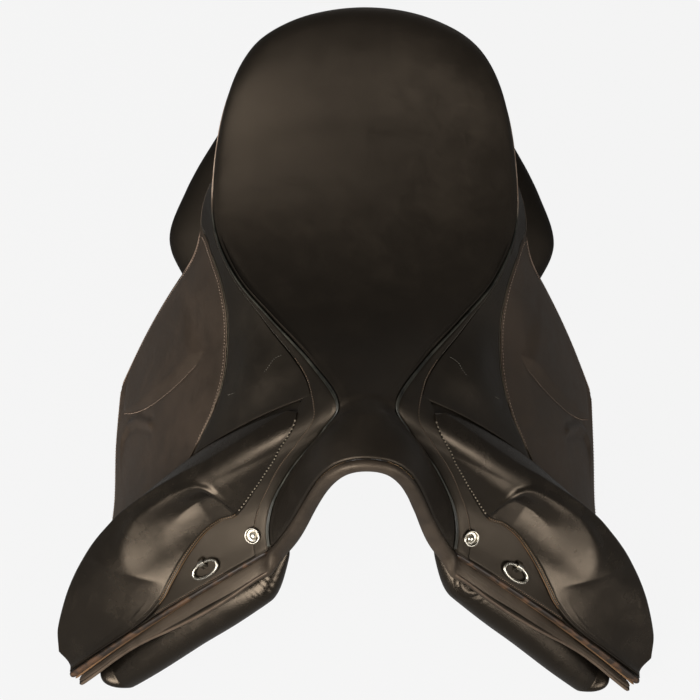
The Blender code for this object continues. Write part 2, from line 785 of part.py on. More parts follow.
def apron(side, word):
    """Front leather between the border, the knee block and the tab; it carries the stud."""
    def region(a, b):
        p = mix(0.006, APRON_REACH, a)
        return p, mix(border_f(p) + 0.004, apron_f(p), b)

    return side_sheet("apron_" + word, region, -LEATHER, 0.0, (18, 3), side, black_leather())


TAB_P = [0.156, 0.168, 0.163, 0.136, 0.104, 0.068, 0.036]
TAB_F = [0.142, 0.212, 0.268, 0.313, 0.357, 0.401, 0.445]


def tab(side, word):
    """Front tab of the flap inside the block's stitched seam; it carries the ring."""
    def region(a, b):
        front_f = mix(apron_f(0.008) + 0.008, 0.460, b)
        far_p = along(TAB_P, b)
        far_f = along(TAB_F, b)
        p = mix(0.008, far_p, a)
        return p, mix(front_f, far_f, a) if b > 0 else apron_f(p) + 0.008

    return side_sheet("front_tab_" + word, region, -LEATHER, 0.0, (6, 8), side, black_leather())


FOLD_FRONT = (0.0458, 0.0774, -0.0266)
FOLD_REAR = (0.1580, 0.2856, -0.0595)


def fold_line(side):
    """Line under the border about which the flap and its skirt lift: a point and a direction."""
    front = Vector(FOLD_FRONT)
    rear = Vector(FOLD_REAR)
    ahead = (rear - front).normalized()
    return Vector((side * front.x, front.y, front.z)), Vector((side * ahead.x, ahead.y, ahead.z))


SKIRT_FRONT = [APRON_REACH + step for step in (0.006, 0.042, 0.088, 0.116)]
SKIRT_LAST = 0.962


def skirt(side, word):
    """Small flap over the stirrup bar, from the border to the gap beside the brown facing."""
    def region(a, b):
        p = mix(along(SKIRT_FRONT, b), SKIRT_LAST, a)
        return p, mix(border_f(p) + 0.006, gap_f(p) - 0.010, b)

    def bulge(a, b):
        return 0.005 * smooth_step(1 - abs(a - 0.28) / 0.40) * smooth_step(1 - abs(b - 0.45) / 0.60)

    item = side_sheet("skirt_" + word, region, lambda a, b: -LEATHER + bulge(a, b),
                      lambda a, b: bulge(a, b), (12, 6), side, black_leather())
    set_origin(item, fold_line(side)[0])
    return item


CORE_TOP = -(LEATHER + GAP)


def core_top_f(p):
    """Upper edge of the flap's core: along the apron in front, below the stirrup bar behind."""
    if p <= APRON_REACH:
        return apron_f(p) + 0.008
    return min(mix(apron_f(APRON_REACH) + 0.008, 0.185, smooth_step((p - APRON_REACH) / 0.08)), gap_f(p) - 0.006)


REAR_CORNER = 0.078


def corner_shift(a, b):
    """How far the flap's upper rear corner runs on beyond its rear edge."""
    return REAR_CORNER * a ** 6 * exp(-b / 0.065)


def flap(side, word):
    def region(a, b):
        p = mix(0.004, 0.996, a)
        return p + corner_shift(a, b), mix(core_top_f(p + corner_shift(a, 0.0)), 1.0, b)

    item = side_sheet("flap_" + word, region, CORE_TOP - FLAP_CORE, CORE_TOP, (20, 8), side, black_leather())
    set_origin(item, fold_line(side)[0])
    return item


FACING_BOTTOM = CORE_TOP + LOOSE


def facing(side, word):
    """Brown facing of the flap, from under the block back to the rear edge, up to the gap beside the skirt."""
    def region(a, b):
        head_p = mix(0.500, 0.996, a)
        foot_p = mix(0.115, 0.996, a)
        top_f = gap_f(head_p + corner_shift(a, 0.0)) + 0.004
        return mix(head_p, foot_p, b) + corner_shift(a, b), mix(top_f, 1.0, b)

    return side_sheet("flap_facing_" + word, region, FACING_BOTTOM, FACING_BOTTOM + FACING, (12, 10), side,
                      brown_leather())


def knee_block(side, word):
    bottom = FACING_BOTTOM + FACING + LOOSE

    def region(a, b):
        return block_outline(b, a)

    return side_sheet("knee_block_" + word, region, bottom,
                      lambda a, b: bottom + block_height(b, a), (12, 18), side, black_leather())


def edge_roll(side, word):
    """Thick rolled edge along the front of the flap."""
    steps = 18
    path, ups = [], []
    for i in range(steps + 1):
        f = mix(0.120, 0.985, i / steps)
        path.append(on_side(0.0, f, CORE_TOP - FLAP_CORE / 2, side) + Vector((0, -EDGE_ROLL - GAP - 0.0012, 0)))
        ups.append(side_normal(0.0, f, side))
    return sweep("edge_roll_" + word, path, EDGE_ROLL, EDGE_ROLL * 1.15, lining_leather(), 6, ups, 0.5)


SWEAT_REAR = 0.90


def sweat_front_p(f):
    """Front edge of the sweat flap: ahead of the flap in the middle, level with it at the foot."""
    return -SWEAT_FORWARD / SIDE_LENGTH * smooth_step(1.25 - f)


def sweat_flap(side, word):
    """Leather flap that hangs on the horse's side; its bottom edge is what the saddle stands on."""
    floor = -FLAP_DROP - SWEAT_LONGER

    def point(a, b, off):
        f = mix(along([0.12, 0.16, 0.21, 0.22, 0.20, 0.16, 0.13], a), 1.0, b)
        p = mix(sweat_front_p(f), SWEAT_REAR, a)
        spot = on_side(p, f, off, side)
        longer = smooth_step(a / 0.25) * smooth_step((0.90 - a) / 0.25) * b ** 4
        spot.z = mix(spot.z, floor - 0.002, longer)
        return spot

    across, down = 14, 9
    grids = [[[point(i / across, j / down, off) for j in range(down + 1)] for i in range(across + 1)]
             for off in (-SWEAT_DEPTH, -SWEAT_DEPTH + SWEAT_FLAP)]
    item = plate("sweat_flap_" + word, grids[0], grids[1], black_leather())
    cut_flat(item, floor)
    return item


def cut_flat(item, level):
    """Trim what is below a level and close the cut, so the piece has a flat foot."""
    bm = bmesh.new()
    bm.from_mesh(item.data)
    done = bmesh.ops.bisect_plane(bm, geom=bm.verts[:] + bm.edges[:] + bm.faces[:], dist=1e-6,
                                  plane_co=(0, 0, level), plane_no=(0, 0, -1), clear_outer=True)
    edges = [e for e in done["geom_cut"] if isinstance(e, bmesh.types.BMEdge)]
    bmesh.ops.holes_fill(bm, edges=edges, sides=0)
    bmesh.ops.recalc_face_normals(bm, faces=bm.faces)
    bm.to_mesh(item.data)
    bm.free()


def sweat_piping(side, word):
    steps = 18
    path, ups = [], []
    for i in range(steps + 1):
        f = mix(0.13, 0.985, i / steps)
        edge = on_side(sweat_front_p(f), f, -SWEAT_DEPTH + SWEAT_FLAP / 2, side)
        path.append(edge + Vector((0, -PIPING - GAP - 0.0010, 0)))
        ups.append(side_normal(0.0, f, side))
    return sweep("sweat_piping_" + word, path, PIPING, PIPING, lining_leather(), 6, ups, 0.6)


def front_roll(side, word):
    """Padded roll of the panel under the sweat flap, showing in front of it."""
    steps, sides = 14, 12
    top, foot = 0.060, 0.990
    floor = -FLAP_DROP - SWEAT_LONGER + GAP
    outer = SWEAT_DEPTH + 2 * GAP + 0.0012
    rings = []
    for i in range(steps + 1):
        b = i / steps
        f = mix(top, foot, b)
        swell = max((1 - abs(2 * b - 1) ** 3.2) ** 0.42, 0.10)
        normal = side_normal(0.0, f, side)
        tangent = (side_point(0.0, f + 0.02, side) - side_point(0.0, f - 0.02, side)).normalized()
        forward = tangent.cross(normal).normalized()
        if forward.y > 0:
            forward = -forward
        half = FRONT_ROLL_THICK / 2 * swell
        wide = 0.5 * (FRONT_ROLL_FORWARD + mix(0.014, 0.034, smooth_step(b * 1.6))) * swell
        centre = side_point(0.0, f, side) - normal * (outer + 0.004 * b + FRONT_ROLL_THICK / 2)
        centre += forward * (FRONT_ROLL_FORWARD * mix(1.25, 0.62, b) - wide / swell)
        ring = []
        for k in range(sides):
            turn = 2 * pi * k / sides
            c, s = cos(turn), sin(turn)
            ring.append(centre + forward * (wide * (1 if c >= 0 else -1) * abs(c) ** 0.85)
                        + normal * (half * (1 if s >= 0 else -1) * abs(s) ** 0.9))
        sunk = max(floor - min(point.z for point in ring), 0.0)
        rings.append([point + Vector((0, 0, sunk)) for point in ring])
    return loft("front_roll_" + word, rings, black_leather())


# The main cushion of the panel: place along the saddle, centre, half width, half thickness and tilt

def panel_stations():
    half_rear = PANEL_REAR_SPREAD / 2
    return [
        (0.050, 0.090, -0.150, 0.030, 0.014, 50),
        (0.070, 0.092, -0.145, 0.046, 0.018, 50),
        (0.120, 0.096, -0.140, 0.056, 0.019, 48),
        (0.180, 0.100, -0.143, 0.062, 0.020, 42),
        (0.240, 0.101, -0.142, 0.061, 0.021, 36),
        (0.290, half_rear - 0.0965, -0.134, 0.082, 0.024, 28),
        (0.330, half_rear - 0.087, -0.117, 0.089, 0.027, 22),
        (0.370, half_rear - 0.098, -0.096, 0.081, 0.028, 16),
        (0.410, 0.090, -0.074, 0.066, 0.028, 11),
        (0.445, 0.076, -0.056, 0.050, 0.025, 6),
        (0.468, 0.062, -0.044, 0.033, 0.017, 2),
    ]


def panel_ring(share, sides):
    """Closed curve round the cushion at a share of its length, counted from the front."""
    stations = panel_stations()
    y, x, z, wide, thick, tilt = spline(stations, share * (len(stations) - 1))
    u = Vector((cos(radians(tilt)), 0, -sin(radians(tilt))))
    w = Vector((sin(radians(tilt)), 0, cos(radians(tilt))))
    ring = []
    for k in range(sides):
        turn = 2 * pi * k / sides
        c, s = cos(turn), sin(turn)
        a = wide * (1 if c >= 0 else -1) * abs(c) ** 0.75
        b = thick * (1 if s >= 0 else -1) * abs(s) ** 0.8
        ring.append(Vector((x, y * LONG, z)) + u * a + w * b)
    return ring


PANEL_END = 0.006


def panel_top(x, y):
    """Height of the cushion's upper face at a place, or nothing where there is no cushion."""
    low, high = 0.0, 1.0
    if y >= panel_ring(high, 4)[0].y + PANEL_END or y <= panel_ring(low, 4)[0].y:
        return None
    for _ in range(24):
        middle = (low + high) / 2
        if panel_ring(middle, 4)[0].y < y:
            low = middle
        else:
            high = middle
    ring = panel_ring(low, 64)
    for a, b in zip(ring[:32], ring[1:33]):
        if min(a.x, b.x) <= x <= max(a.x, b.x):
            return mix(a.z, b.z, (x - a.x) / (b.x - a.x or 1.0))
    return None


def panel_rings(side):
    sides = 14
    steps = 14
    return [[Vector((side * point.x, point.y, point.z)) for point in panel_ring(step / steps, sides)]
            for step in range(steps + 1)]


def panel(side, word):
    return loft("panel_" + word, panel_rings(side), black_leather())


# Girth billets

def billet(p, side, word):
    """Girth strap with a row of holes, hanging between the sweat flap and the flap."""
    half = BILLET_WIDTH / 2 / SIDE_LENGTH
    top, foot = 0.285, 0.93

    def region(a, b):
        return mix(p - half, p + half, a), mix(top, foot, b)

    item = side_sheet("billet_" + word, region, -BILLET_DEPTH - BILLET_THICK / 2, -BILLET_DEPTH + BILLET_THICK / 2,
                      (1, 8), side, brown_leather())
    drop = (side_point(p, foot) - side_point(p, top)).length
    holes = []
    for k in range(BILLET_HOLES):
        f = foot - (0.022 + BILLET_PITCH * k) / drop * (foot - top)
        holes.append(turned("cutter", on_side(p, f, -BILLET_DEPTH, side), side_normal(p, f, side),
                            [(BILLET_HOLE, -BILLET_THICK), (BILLET_HOLE, BILLET_THICK)], brown_leather(), 8))
    cut_with(item, holes)
    set_origin(item, on_side(p, top, -BILLET_DEPTH, side))
    return item


def cut_with(item, cutters):
    """Cut closed shapes out of a piece and remove them."""
    for cutter in cutters:
        change = item.modifiers.new("cut", "BOOLEAN")
        change.operation = "DIFFERENCE"
        change.solver = "EXACT"
        change.object = cutter
        graph = bpy.context.evaluated_depsgraph_get()
        graph.update()
        mesh = bpy.data.meshes.new_from_object(item.evaluated_get(graph))
        item.modifiers.clear()
        item.data = mesh
        bpy.data.objects.remove(cutter, do_unlink=True)


def billet_web(side, word):
    """Nylon web over the top of both billets, up toward the tree's rail."""
    def region(a, b):
        return mix(0.57, 0.80, a), mix(0.225, 0.278, b)

    return side_sheet("billet_web_" + word, region, -BILLET_DEPTH - WEB_THICK / 2, -BILLET_DEPTH + WEB_THICK / 2,
                      (6, 2), side, webbing())


# Metal fittings

def side_frame(p, f, off, side):
    """Point on the side surface with its directions: toward the rear, off the surface, and down."""
    centre = on_side(p, f, off, side)
    out = side_normal(p, f, side)
    down = side_point(p, f + 0.02, side) - side_point(p, f - 0.02, side)
    down = (down - out * down.dot(out)).normalized()
    rear = out.cross(down).normalized()
    if rear.y < 0:
        rear = -rear
    return centre, rear, out, down


RING_P = 0.077
RING_F = 0.273
STUD_P = 0.072
STUD_F = 0.058


def stud(side, word):
    centre, rear, out, down = side_frame(STUD_P, STUD_F, 5 * GAP, side)
    r, h = STUD_RADIUS, STUD_HEIGHT
    profile = [(r, 0.0), (r, 0.3 * h), (0.86 * r, 0.75 * h), (0.72 * r, 0.70 * h), (0.60 * r, 0.35 * h),
               (0.45 * r, 0.40 * h), (0.30 * r, 0.80 * h), (0.12 * r, h)]
    return turned("stud_" + word, centre, out, profile, nickel(), 14)


def d_ring(side, word):
    """Oval D of wire; its straight side runs through the staple, about which it swings."""
    centre, rear, out, down = side_frame(RING_P, RING_F, RING_WIRE + RING_LIFT, side)
    long_half, wide = RING_LONG / 2, RING_WIDE
    steps = 20
    path = []
    for k in range(steps):
        turn = 2 * pi * k / steps
        a = cos(turn) * long_half
        b = wide / 2 + sin(turn) * wide / 2
        b = max(b, 0.0) if abs(a) > long_half * 0.7 else (0.0 if b < wide / 2 else b)
        path.append(centre + down * a - rear * b)
    rings = []
    for k, point in enumerate(path):
        ahead = (path[(k + 1) % steps] - path[k - 1]).normalized()
        across = out.cross(ahead).normalized()
        rings.append([point + across * (cos(2 * pi * j / 6) * RING_WIRE) + out * (sin(2 * pi * j / 6) * RING_WIRE)
                      for j in range(6)])
    verts = [p for ring in rings for p in ring]
    faces = []
    for k in range(steps):
        n = (k + 1) % steps
        for j in range(6):
            m = (j + 1) % 6
            faces.append((k * 6 + j, k * 6 + m, n * 6 + m, n * 6 + j))
    item = make_object("d_ring_" + word, verts, faces, nickel())
    set_origin(item, centre)
    return item


def ring_staple(side, word):
    """Flat bent strap over the straight side of the ring, with its two feet on the tab."""
    centre, rear, out, down = side_frame(RING_P, RING_F, 0.0, side)
    wire = RING_WIRE + RING_LIFT / 2
    inner, wall, half = wire + 0.0004, 0.0010, 0.0036
    outline_in = [(-inner - 0.001, GAP), (-inner, 2 * wire * 0.7), (-inner * 0.55, 2 * wire + 0.0004),
                  (inner * 0.55, 2 * wire + 0.0004), (inner, 2 * wire * 0.7), (inner + 0.001, GAP)]
    outline_out = [(-inner - wall - 0.0016, GAP), (-inner - wall, 2 * wire * 0.75), (-inner * 0.62, 2 * wire + 0.0004 + wall),
                   (inner * 0.62, 2 * wire + 0.0004 + wall), (inner + wall, 2 * wire * 0.75),
                   (inner + wall + 0.0016, GAP)]
    low = [[centre + rear * a + out * b + down * s * half for s in (-1, 1)] for a, b in outline_in]
    high = [[centre + rear * a + out * b + down * s * half for s in (-1, 1)] for a, b in outline_out]
    return plate("ring_staple_" + word, low, high, nickel())


def seat_piping(side, word):
    """Thin piped seam between the seat and its border, from the cantle to the foot of the pommel."""
    path, ups = [], []
    for row in range(3, SEAT_ROWS + 1):
        u = min(row / SEAT_ROWS, 0.994)
        normal = seat_normal(u, 0.99 * side)
        path.append(seat_point(u, side) + normal * 0.0006)
        ups.append(normal)
    return sweep("seat_piping_" + word, path, PIPING, PIPING, black_leather(), 6, ups, 0.6)


def side_pieces():
    for side, word in ((-1, "right"), (1, "left")):
        seat_piping(side, word)
        border(side, word)
        apron(side, word)
        skirt(side, word)
        flap(side, word)
        facing(side, word)
        knee_block(side, word)
        tab(side, word)
        edge_roll(side, word)
        stud(side, word)
        d_ring(side, word)
        ring_staple(side, word)
        sweat_flap(side, word)
        sweat_piping(side, word)
        front_roll(side, word)
        panel(side, word)
        billet(0.62, side, "front_" + word)
        billet(0.76, side, "rear_" + word)
        billet_web(side, word)
        stirrup_bar(side, word)
        bar_catch(side, word)
        bar_rivets(side, word)


def main():
    clear_scene()
    seat_cover()
    seat_cushion()
    seat_web()
    head()
    arch_lining()
    rails()
    cantle_board()
    cantle_facing()
    side_pieces()
    return stand_on_floor()


def stand_on_floor():
    """Move everything so the middle of the saddle is over the origin and its feet are at height zero."""
    bpy.context.view_layer.update()
    corners = [item.matrix_world @ vert.co for item in bpy.data.objects for vert in item.data.vertices]
    low = [min(c[k] for c in corners) for k in range(3)]
    high = [max(c[k] for c in corners) for k in range(3)]
    shift = Vector((-(low[0] + high[0]) / 2, -(low[1] + high[1]) / 2, -low[2]))
    for item in bpy.data.objects:
        item.location += shift
    return shift


FLOOR_SHIFT = main()
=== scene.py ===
import bpy
import bmesh
import json
from math import sin, cos, pi, radians, sqrt, exp
from mathutils import Vector, Matrix, noise

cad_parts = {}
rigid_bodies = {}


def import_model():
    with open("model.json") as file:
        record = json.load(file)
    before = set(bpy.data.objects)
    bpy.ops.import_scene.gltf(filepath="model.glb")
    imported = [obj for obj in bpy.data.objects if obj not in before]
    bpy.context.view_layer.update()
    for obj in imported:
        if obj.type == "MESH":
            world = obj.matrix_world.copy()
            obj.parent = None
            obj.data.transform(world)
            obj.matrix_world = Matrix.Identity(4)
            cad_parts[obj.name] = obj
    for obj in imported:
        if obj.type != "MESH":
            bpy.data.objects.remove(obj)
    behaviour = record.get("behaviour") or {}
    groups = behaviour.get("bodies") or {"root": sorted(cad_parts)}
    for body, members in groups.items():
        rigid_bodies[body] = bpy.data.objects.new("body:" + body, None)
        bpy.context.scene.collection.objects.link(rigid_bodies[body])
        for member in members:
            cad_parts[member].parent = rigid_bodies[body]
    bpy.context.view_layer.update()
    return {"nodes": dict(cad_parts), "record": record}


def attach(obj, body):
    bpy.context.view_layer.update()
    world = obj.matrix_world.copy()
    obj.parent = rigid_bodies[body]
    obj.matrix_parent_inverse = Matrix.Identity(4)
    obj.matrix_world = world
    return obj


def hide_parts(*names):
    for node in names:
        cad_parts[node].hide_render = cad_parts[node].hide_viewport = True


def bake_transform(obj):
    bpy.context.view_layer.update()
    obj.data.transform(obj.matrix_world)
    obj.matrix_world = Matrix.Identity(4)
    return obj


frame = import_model()
scene = bpy.context.scene
nodes = frame["nodes"]
tree = "tree_and_seat"
print("frame loaded:", len(nodes), "solids")


# two smooth surfaces carry every leather: the seat and the side
saddle = {
    "floorShift": (0.0, -0.213846, 0.3950),
    "halfSeat": 0.153, "halfWaist": 0.0285, "halfPommel": 0.0925,
    "pommelDrop": 0.172, "cantleRise": 0.050, "dip": 0.042,
    "leather": 0.0025, "sideLength": 0.33, "rearStations": 6.1,
    "flapDrop": 0.385, "flapFront": 0.302, "flapRear": 0.2615,
    "frontReach": 0.056, "rearReach": 0.256, "bulge": 0.032,
}
halfSeat, halfWaist, halfPommel = saddle["halfSeat"], saddle["halfWaist"], saddle["halfPommel"]
drop, rise, dip = saddle["pommelDrop"], saddle["cantleRise"], saddle["dip"]
leather = saddle["leather"]
floorShift = Vector(saddle["floorShift"])

centreLine = [
    (0.502, rise - 0.020), (0.487, rise), (0.450, rise - 0.008), (0.380, 0.004), (0.300, -0.72 * dip),
    (0.230, -dip), (0.170, -0.86 * dip), (0.115, -0.43 * dip), (0.068, -0.005), (0.050, 0.0),
    (0.040, 0.001), (0.030, 0.0015), (0.020, 0.0015), (0.010, 0.001), (0.0, 0.0),
]
seamLine = [
    (0.68 * halfSeat, 0.471, 0.012), (0.82 * halfSeat, 0.446, 0.006), (0.94 * halfSeat, 0.402, -0.013),
    (halfSeat, 0.345, -0.040), (0.99 * halfSeat, 0.290, -0.055), (0.85 * halfSeat, 0.230, -0.050),
    (0.61 * halfSeat, 0.175, -0.041), (halfWaist + 0.025, 0.117, -0.027), (halfWaist, 0.066, -0.014),
    (halfWaist + 0.013, 0.0515, -0.256 * drop), (0.64 * halfPommel, 0.0447, -0.448 * drop),
    (0.81 * halfPommel, 0.0374, -0.628 * drop), (0.957 * halfPommel, 0.0247, -0.814 * drop),
    (1.016 * halfPommel, 0.0068, -0.936 * drop), (halfPommel, -0.012, -drop),
]
fullness = [0.45, 0.50, 0.50, 0.50, 0.50, 0.50, 0.50, 0.50, 0.53, 0.56, 0.60, 0.65, 0.67, 0.67, 0.67]
shoulder = [0.82, 0.98, 1.03, 1.05, 1.05, 1.04, 1.02, 1.00, 0.95, 0.88, 0.82, 0.77, 0.68, 0.61, 0.595]
dropShare = [0.30, 0.25, 0.30, 0.42, 0.50, 0.50, 0.45, 0.42, 0.40, 0.42, 0.44, 0.49, 0.54, 0.575, 0.58]
stationCount = len(centreLine) - 1

sideStations = [14.0, 11.3, 8.0, 6.8, 5.7, 4.1]


def mix(a, b, t):
    return a + (b - a) * t


def smoothStep(t):
    t = min(max(t, 0.0), 1.0)
    return t * t * (3 - 2 * t)


def bell(distance, width):
    return exp(-(distance / width) ** 2)


def signed(value, power):
    return (1 if value >= 0 else -1) * abs(value) ** power


def spline(points, at):
    last = len(points) - 1
    step = min(max(int(at), 0), last - 1)
    t = at - step
    a, b, c, d = points[max(step - 1, 0)], points[step], points[step + 1], points[min(step + 2, last)]
    if step == 0:
        a = tuple(2 * u - v for u, v in zip(b, c))
    if step == last - 1:
        d = tuple(2 * u - v for u, v in zip(c, b))
    if t < 0 or t > 1:
        end, other = (b, c) if t < 0 else (c, b)
        beyond = -t if t < 0 else t - 1
        return tuple(u + (u - v) * beyond for u, v in zip(end, other))
    return tuple(0.5 * (2 * q + (r - p) * t + (2 * p - 5 * q + 4 * r - s) * t * t + (3 * q - p - 3 * r + s) * t ** 3)
                 for p, q, r, s in zip(a, b, c, d))


def along(values, share):
    return spline([(v,) for v in values], share * (len(values) - 1))[0]


def bezier(p0, p1, p2, p3, t):
    s = 1 - t
    return s ** 3 * p0 + 3 * s * s * t * p1 + 3 * s * t * t * p2 + t ** 3 * p3


sideBottom = [
    (saddle["flapFront"], -saddle["frontReach"], -saddle["flapDrop"]),
    (mix(saddle["flapFront"], saddle["flapRear"], 0.30), -0.18 * saddle["frontReach"], -saddle["flapDrop"]),
    (mix(saddle["flapFront"], saddle["flapRear"], 0.76), 0.245 * saddle["rearReach"], -saddle["flapDrop"]),
    (saddle["flapRear"], 0.53 * saddle["rearReach"], -saddle["flapDrop"]),
    (saddle["flapRear"], 0.82 * saddle["rearReach"], -saddle["flapDrop"] + 0.008),
    (saddle["flapRear"] - 0.006, saddle["rearReach"], -saddle["flapDrop"] + 0.062),
]
sideBulge = [share * saddle["bulge"] for share in (0.30, 0.70, 0.97, 1.0, 0.60, 0.0)]
sideRearward = [-0.005, 0.0, 0.0, 0.0, 0.008, 0.022]


def seatPoint(u, v):
    # u runs from the cantle to the pommel, v across from -1 to 1
    station = u * stationCount
    centreY, centreZ = spline(centreLine, station)
    sx, sy, sz = spline(seamLine, station)
    t = abs(v)
    x = bezier(0.0, along(fullness, u) * sx, along(shoulder, u) * sx, sx, t)
    y = bezier(centreY, centreY, mix(centreY, sy, 0.62), sy, t)
    z = bezier(centreZ, centreZ, mix(centreZ, sz, along(dropShare, u)), sz, t)
    return Vector((x if v >= 0 else -x, y, z)) + floorShift


def seatNormal(u, v):
    step = 0.004
    du = seatPoint(min(u + step, 1.0), v) - seatPoint(max(u - step, 0.0), v)
    dv = seatPoint(u, min(v + step, 1.0)) - seatPoint(u, max(v - step, -1.0))
    return du.cross(dv).normalized()


def sidePoint(p, f):
    # p runs from the front edge to the rear edge, f from the seat's seam to the bottom of the flap
    beyond = p - min(max(p, 0.0), 1.0)
    p = p - beyond
    station = spline([(s,) for s in sideStations], p * 5)[0] - max(beyond, 0.0) * saddle["rearStations"]
    seam = Vector(spline(seamLine, station))
    seam.y += min(beyond, 0.0) * saddle["sideLength"]
    bottom = Vector(spline(sideBottom, p * 5))
    bottom.y += beyond * saddle["sideLength"]
    chord = bottom - seam
    off = Vector((-chord.z, 0, chord.x)).normalized()
    arch = 4 * f * (1 - f)
    rearward = Vector((0, arch * along(sideRearward, p), 0))
    return seam + chord * f + off * (arch * along(sideBulge, p)) + rearward + floorShift


def sideNormal(p, f):
    step = 0.01
    p = max(p, 0.0)
    dp = sidePoint(p + step, f) - sidePoint(max(p - step, 0.0), f)
    df = sidePoint(p, f + step) - sidePoint(p, f - step)
    normal = dp.cross(df).normalized()
    return -normal if normal.x < 0 else normal


def addObject(name, data):
    item = bpy.data.objects.new(name, data)
    scene.collection.objects.link(item)
    return item


def makeMesh(name, verts, faces, angle=40):
    mesh = bpy.data.meshes.new(name)
    mesh.from_pydata([tuple(v) for v in verts], [], faces)
    bm = bmesh.new()
    bm.from_mesh(mesh)
    bmesh.ops.remove_doubles(bm, verts=bm.verts, dist=1e-7)
    bmesh.ops.recalc_face_normals(bm, faces=bm.faces)
    bm.to_mesh(mesh)
    bm.free()
    mesh.shade_smooth()
    mesh.set_sharp_from_angle(angle=radians(angle))
    return addObject(name, mesh)


def closedGrid(name, low, high, angle=40):
    # a closed sheet between two grids of points
    rows, cols = len(low), len(low[0])
    verts = [p for row in low for p in row] + [p for row in high for p in row]
    top = rows * cols
    faces = []
    for i in range(rows - 1):
        for j in range(cols - 1):
            k = i * cols + j
            faces.append((k, k + 1, k + cols + 1, k + cols))
            faces.append((top + k, top + k + cols, top + k + cols + 1, top + k + 1))
    rim = [j for j in range(cols)] + [i * cols + cols - 1 for i in range(1, rows)]
    rim += [(rows - 1) * cols + j for j in range(cols - 2, -1, -1)] + [i * cols for i in range(rows - 2, 0, -1)]
    for k, a in enumerate(rim):
        b = rim[(k + 1) % len(rim)]
        faces.append((a, top + a, top + b, b))
    return makeMesh(name, verts, faces, angle)


def closedRings(name, rings, angle=40):
    count = len(rings[0])
    verts = [p for ring in rings for p in ring]
    faces = []
    for i in range(len(rings) - 1):
        for j in range(count):
            k = (j + 1) % count
            faces.append((i * count + j, i * count + k, (i + 1) * count + k, (i + 1) * count + j))
    for start in (0, (len(rings) - 1) * count):
        verts.append(sum((Vector(verts[start + j]) for j in range(count)), Vector()) / count)
        for j in range(count):
            faces.append((start + j, start + (j + 1) % count, len(verts) - 1))
    return makeMesh(name, verts, faces, angle)


def sweep(name, path, ups, ends, section):
    # rings along a path, rounded at both ends; section(i, across, up) gives a ring's offsets
    rings = []
    last = len(path) - 1
    for i, point in enumerate(path):
        ahead = (path[min(i + 1, last)] - path[max(i - 1, 0)]).normalized()
        across = ahead.cross(ups[i]).normalized()
        up = across.cross(ahead).normalized()
        near = min(i, last - i)
        size = max(sqrt(max(0.0, 1 - (1 - near / ends) ** 2)) if near < ends else 1.0, 0.12)
        rings.append([point + offset * size for offset in section(i, across, up)])
    return closedRings(name, rings, 60)


def tube(name, path, ups, wide, high, around=12, ends=3, shape=None):
    # oval tube along a path; shape(share, turn) may change its size
    def section(i, across, up):
        for k in range(around):
            turn = 2 * pi * k / around
            swell = shape(i / (len(path) - 1), turn) if shape else 1.0
            yield (across * (cos(turn) * wide) + up * (sin(turn) * high)) * swell
    return sweep(name, path, ups, ends, section)


def band(name, path, ups, sizes, around=16, ends=4, power=1.0):
    # like tube, with a pair of half widths at each point
    def section(i, across, up):
        for k in range(around):
            c, s = cos(2 * pi * k / around), sin(2 * pi * k / around)
            yield across * (signed(c, power) * sizes[i][0]) + up * (signed(s, power) * sizes[i][1])
    return sweep(name, path, ups, ends, section)


def mirrored(piece, name):
    mesh = piece.data.copy()
    mesh.transform(Matrix.Scale(-1, 4, Vector((1, 0, 0))))
    mesh.flip_normals()
    return addObject(name, mesh)


def lanes(length, near, far, middle):
    # shares of a length: set distances from both ends, and even steps between them
    fit = min(1.0, 0.9 * length / (near[-1] + far[-1] + 1e-6))
    head = [d * fit for d in near]
    tail = [length - d * fit for d in reversed(far)]
    between = [mix(head[-1], tail[0], (m + 1) / (middle + 1)) for m in range(middle)]
    return [d / length for d in head + between + tail]


def marks(seams):
    # distances from an edge that a rounded rim and these seams need
    found = [0.0, 0.0003, 0.0007, 0.0013]
    for distance in seams:
        found += [distance + k * 0.0006 for k in (-2, -1, 0, 1, 2)]
    return sorted(d for d in found if d >= 0)


def rimDrop(distance, radius):
    if distance >= radius:
        return 0.0
    return radius - sqrt(max(radius * radius - (radius - distance) ** 2, 0.0))


def leatherPiece(name, place, top, thick, middle, seams, depth=0.0005, bulge=None, radius=0.0011, puff=0.0):
    # place(a, b) gives p and f; seams holds distances of sewn lines from the near, far, front and back edges
    steps = 4
    half = [sidePoint(*place(k / steps, 0.5)) for k in range(steps + 1)]
    lengthA = sum((half[k + 1] - half[k]).length for k in range(steps))
    sharesA = lanes(lengthA, marks(seams["front"]), marks(seams["back"]), middle[0])
    low, high = [], []
    for a in sharesA:
        line = [sidePoint(*place(a, k / steps)) for k in range(steps + 1)]
        lengthB = sum((line[k + 1] - line[k]).length for k in range(steps))
        sharesB = lanes(lengthB, marks(seams["near"]), marks(seams["far"]), middle[1])
        lowRow, highRow = [], []
        for b in sharesB:
            p, f = place(a, b)
            gaps = {"near": b * lengthB, "far": (1 - b) * lengthB, "front": a * lengthA, "back": (1 - a) * lengthA}
            lift = top + (bulge(a, b) if bulge else 0.0)
            base = lift - thick
            lift -= max(rimDrop(gap, radius) for gap in gaps.values())
            for edge, gap in gaps.items():
                for distance in seams[edge]:
                    lift -= depth * bell(gap - distance, 0.0009)
            if puff:
                inner = min(gaps.values())
                lift += puff * smoothStep(inner / 0.012)
            point, normal = sidePoint(p, f), sideNormal(p, f)
            ripple = noise.noise(point * 28) * 0.00025
            highRow.append(point + normal * (lift + ripple))
            lowRow.append(point + normal * base)
        low.append(lowRow)
        high.append(highRow)
    return closedGrid(name, low, high, 55)


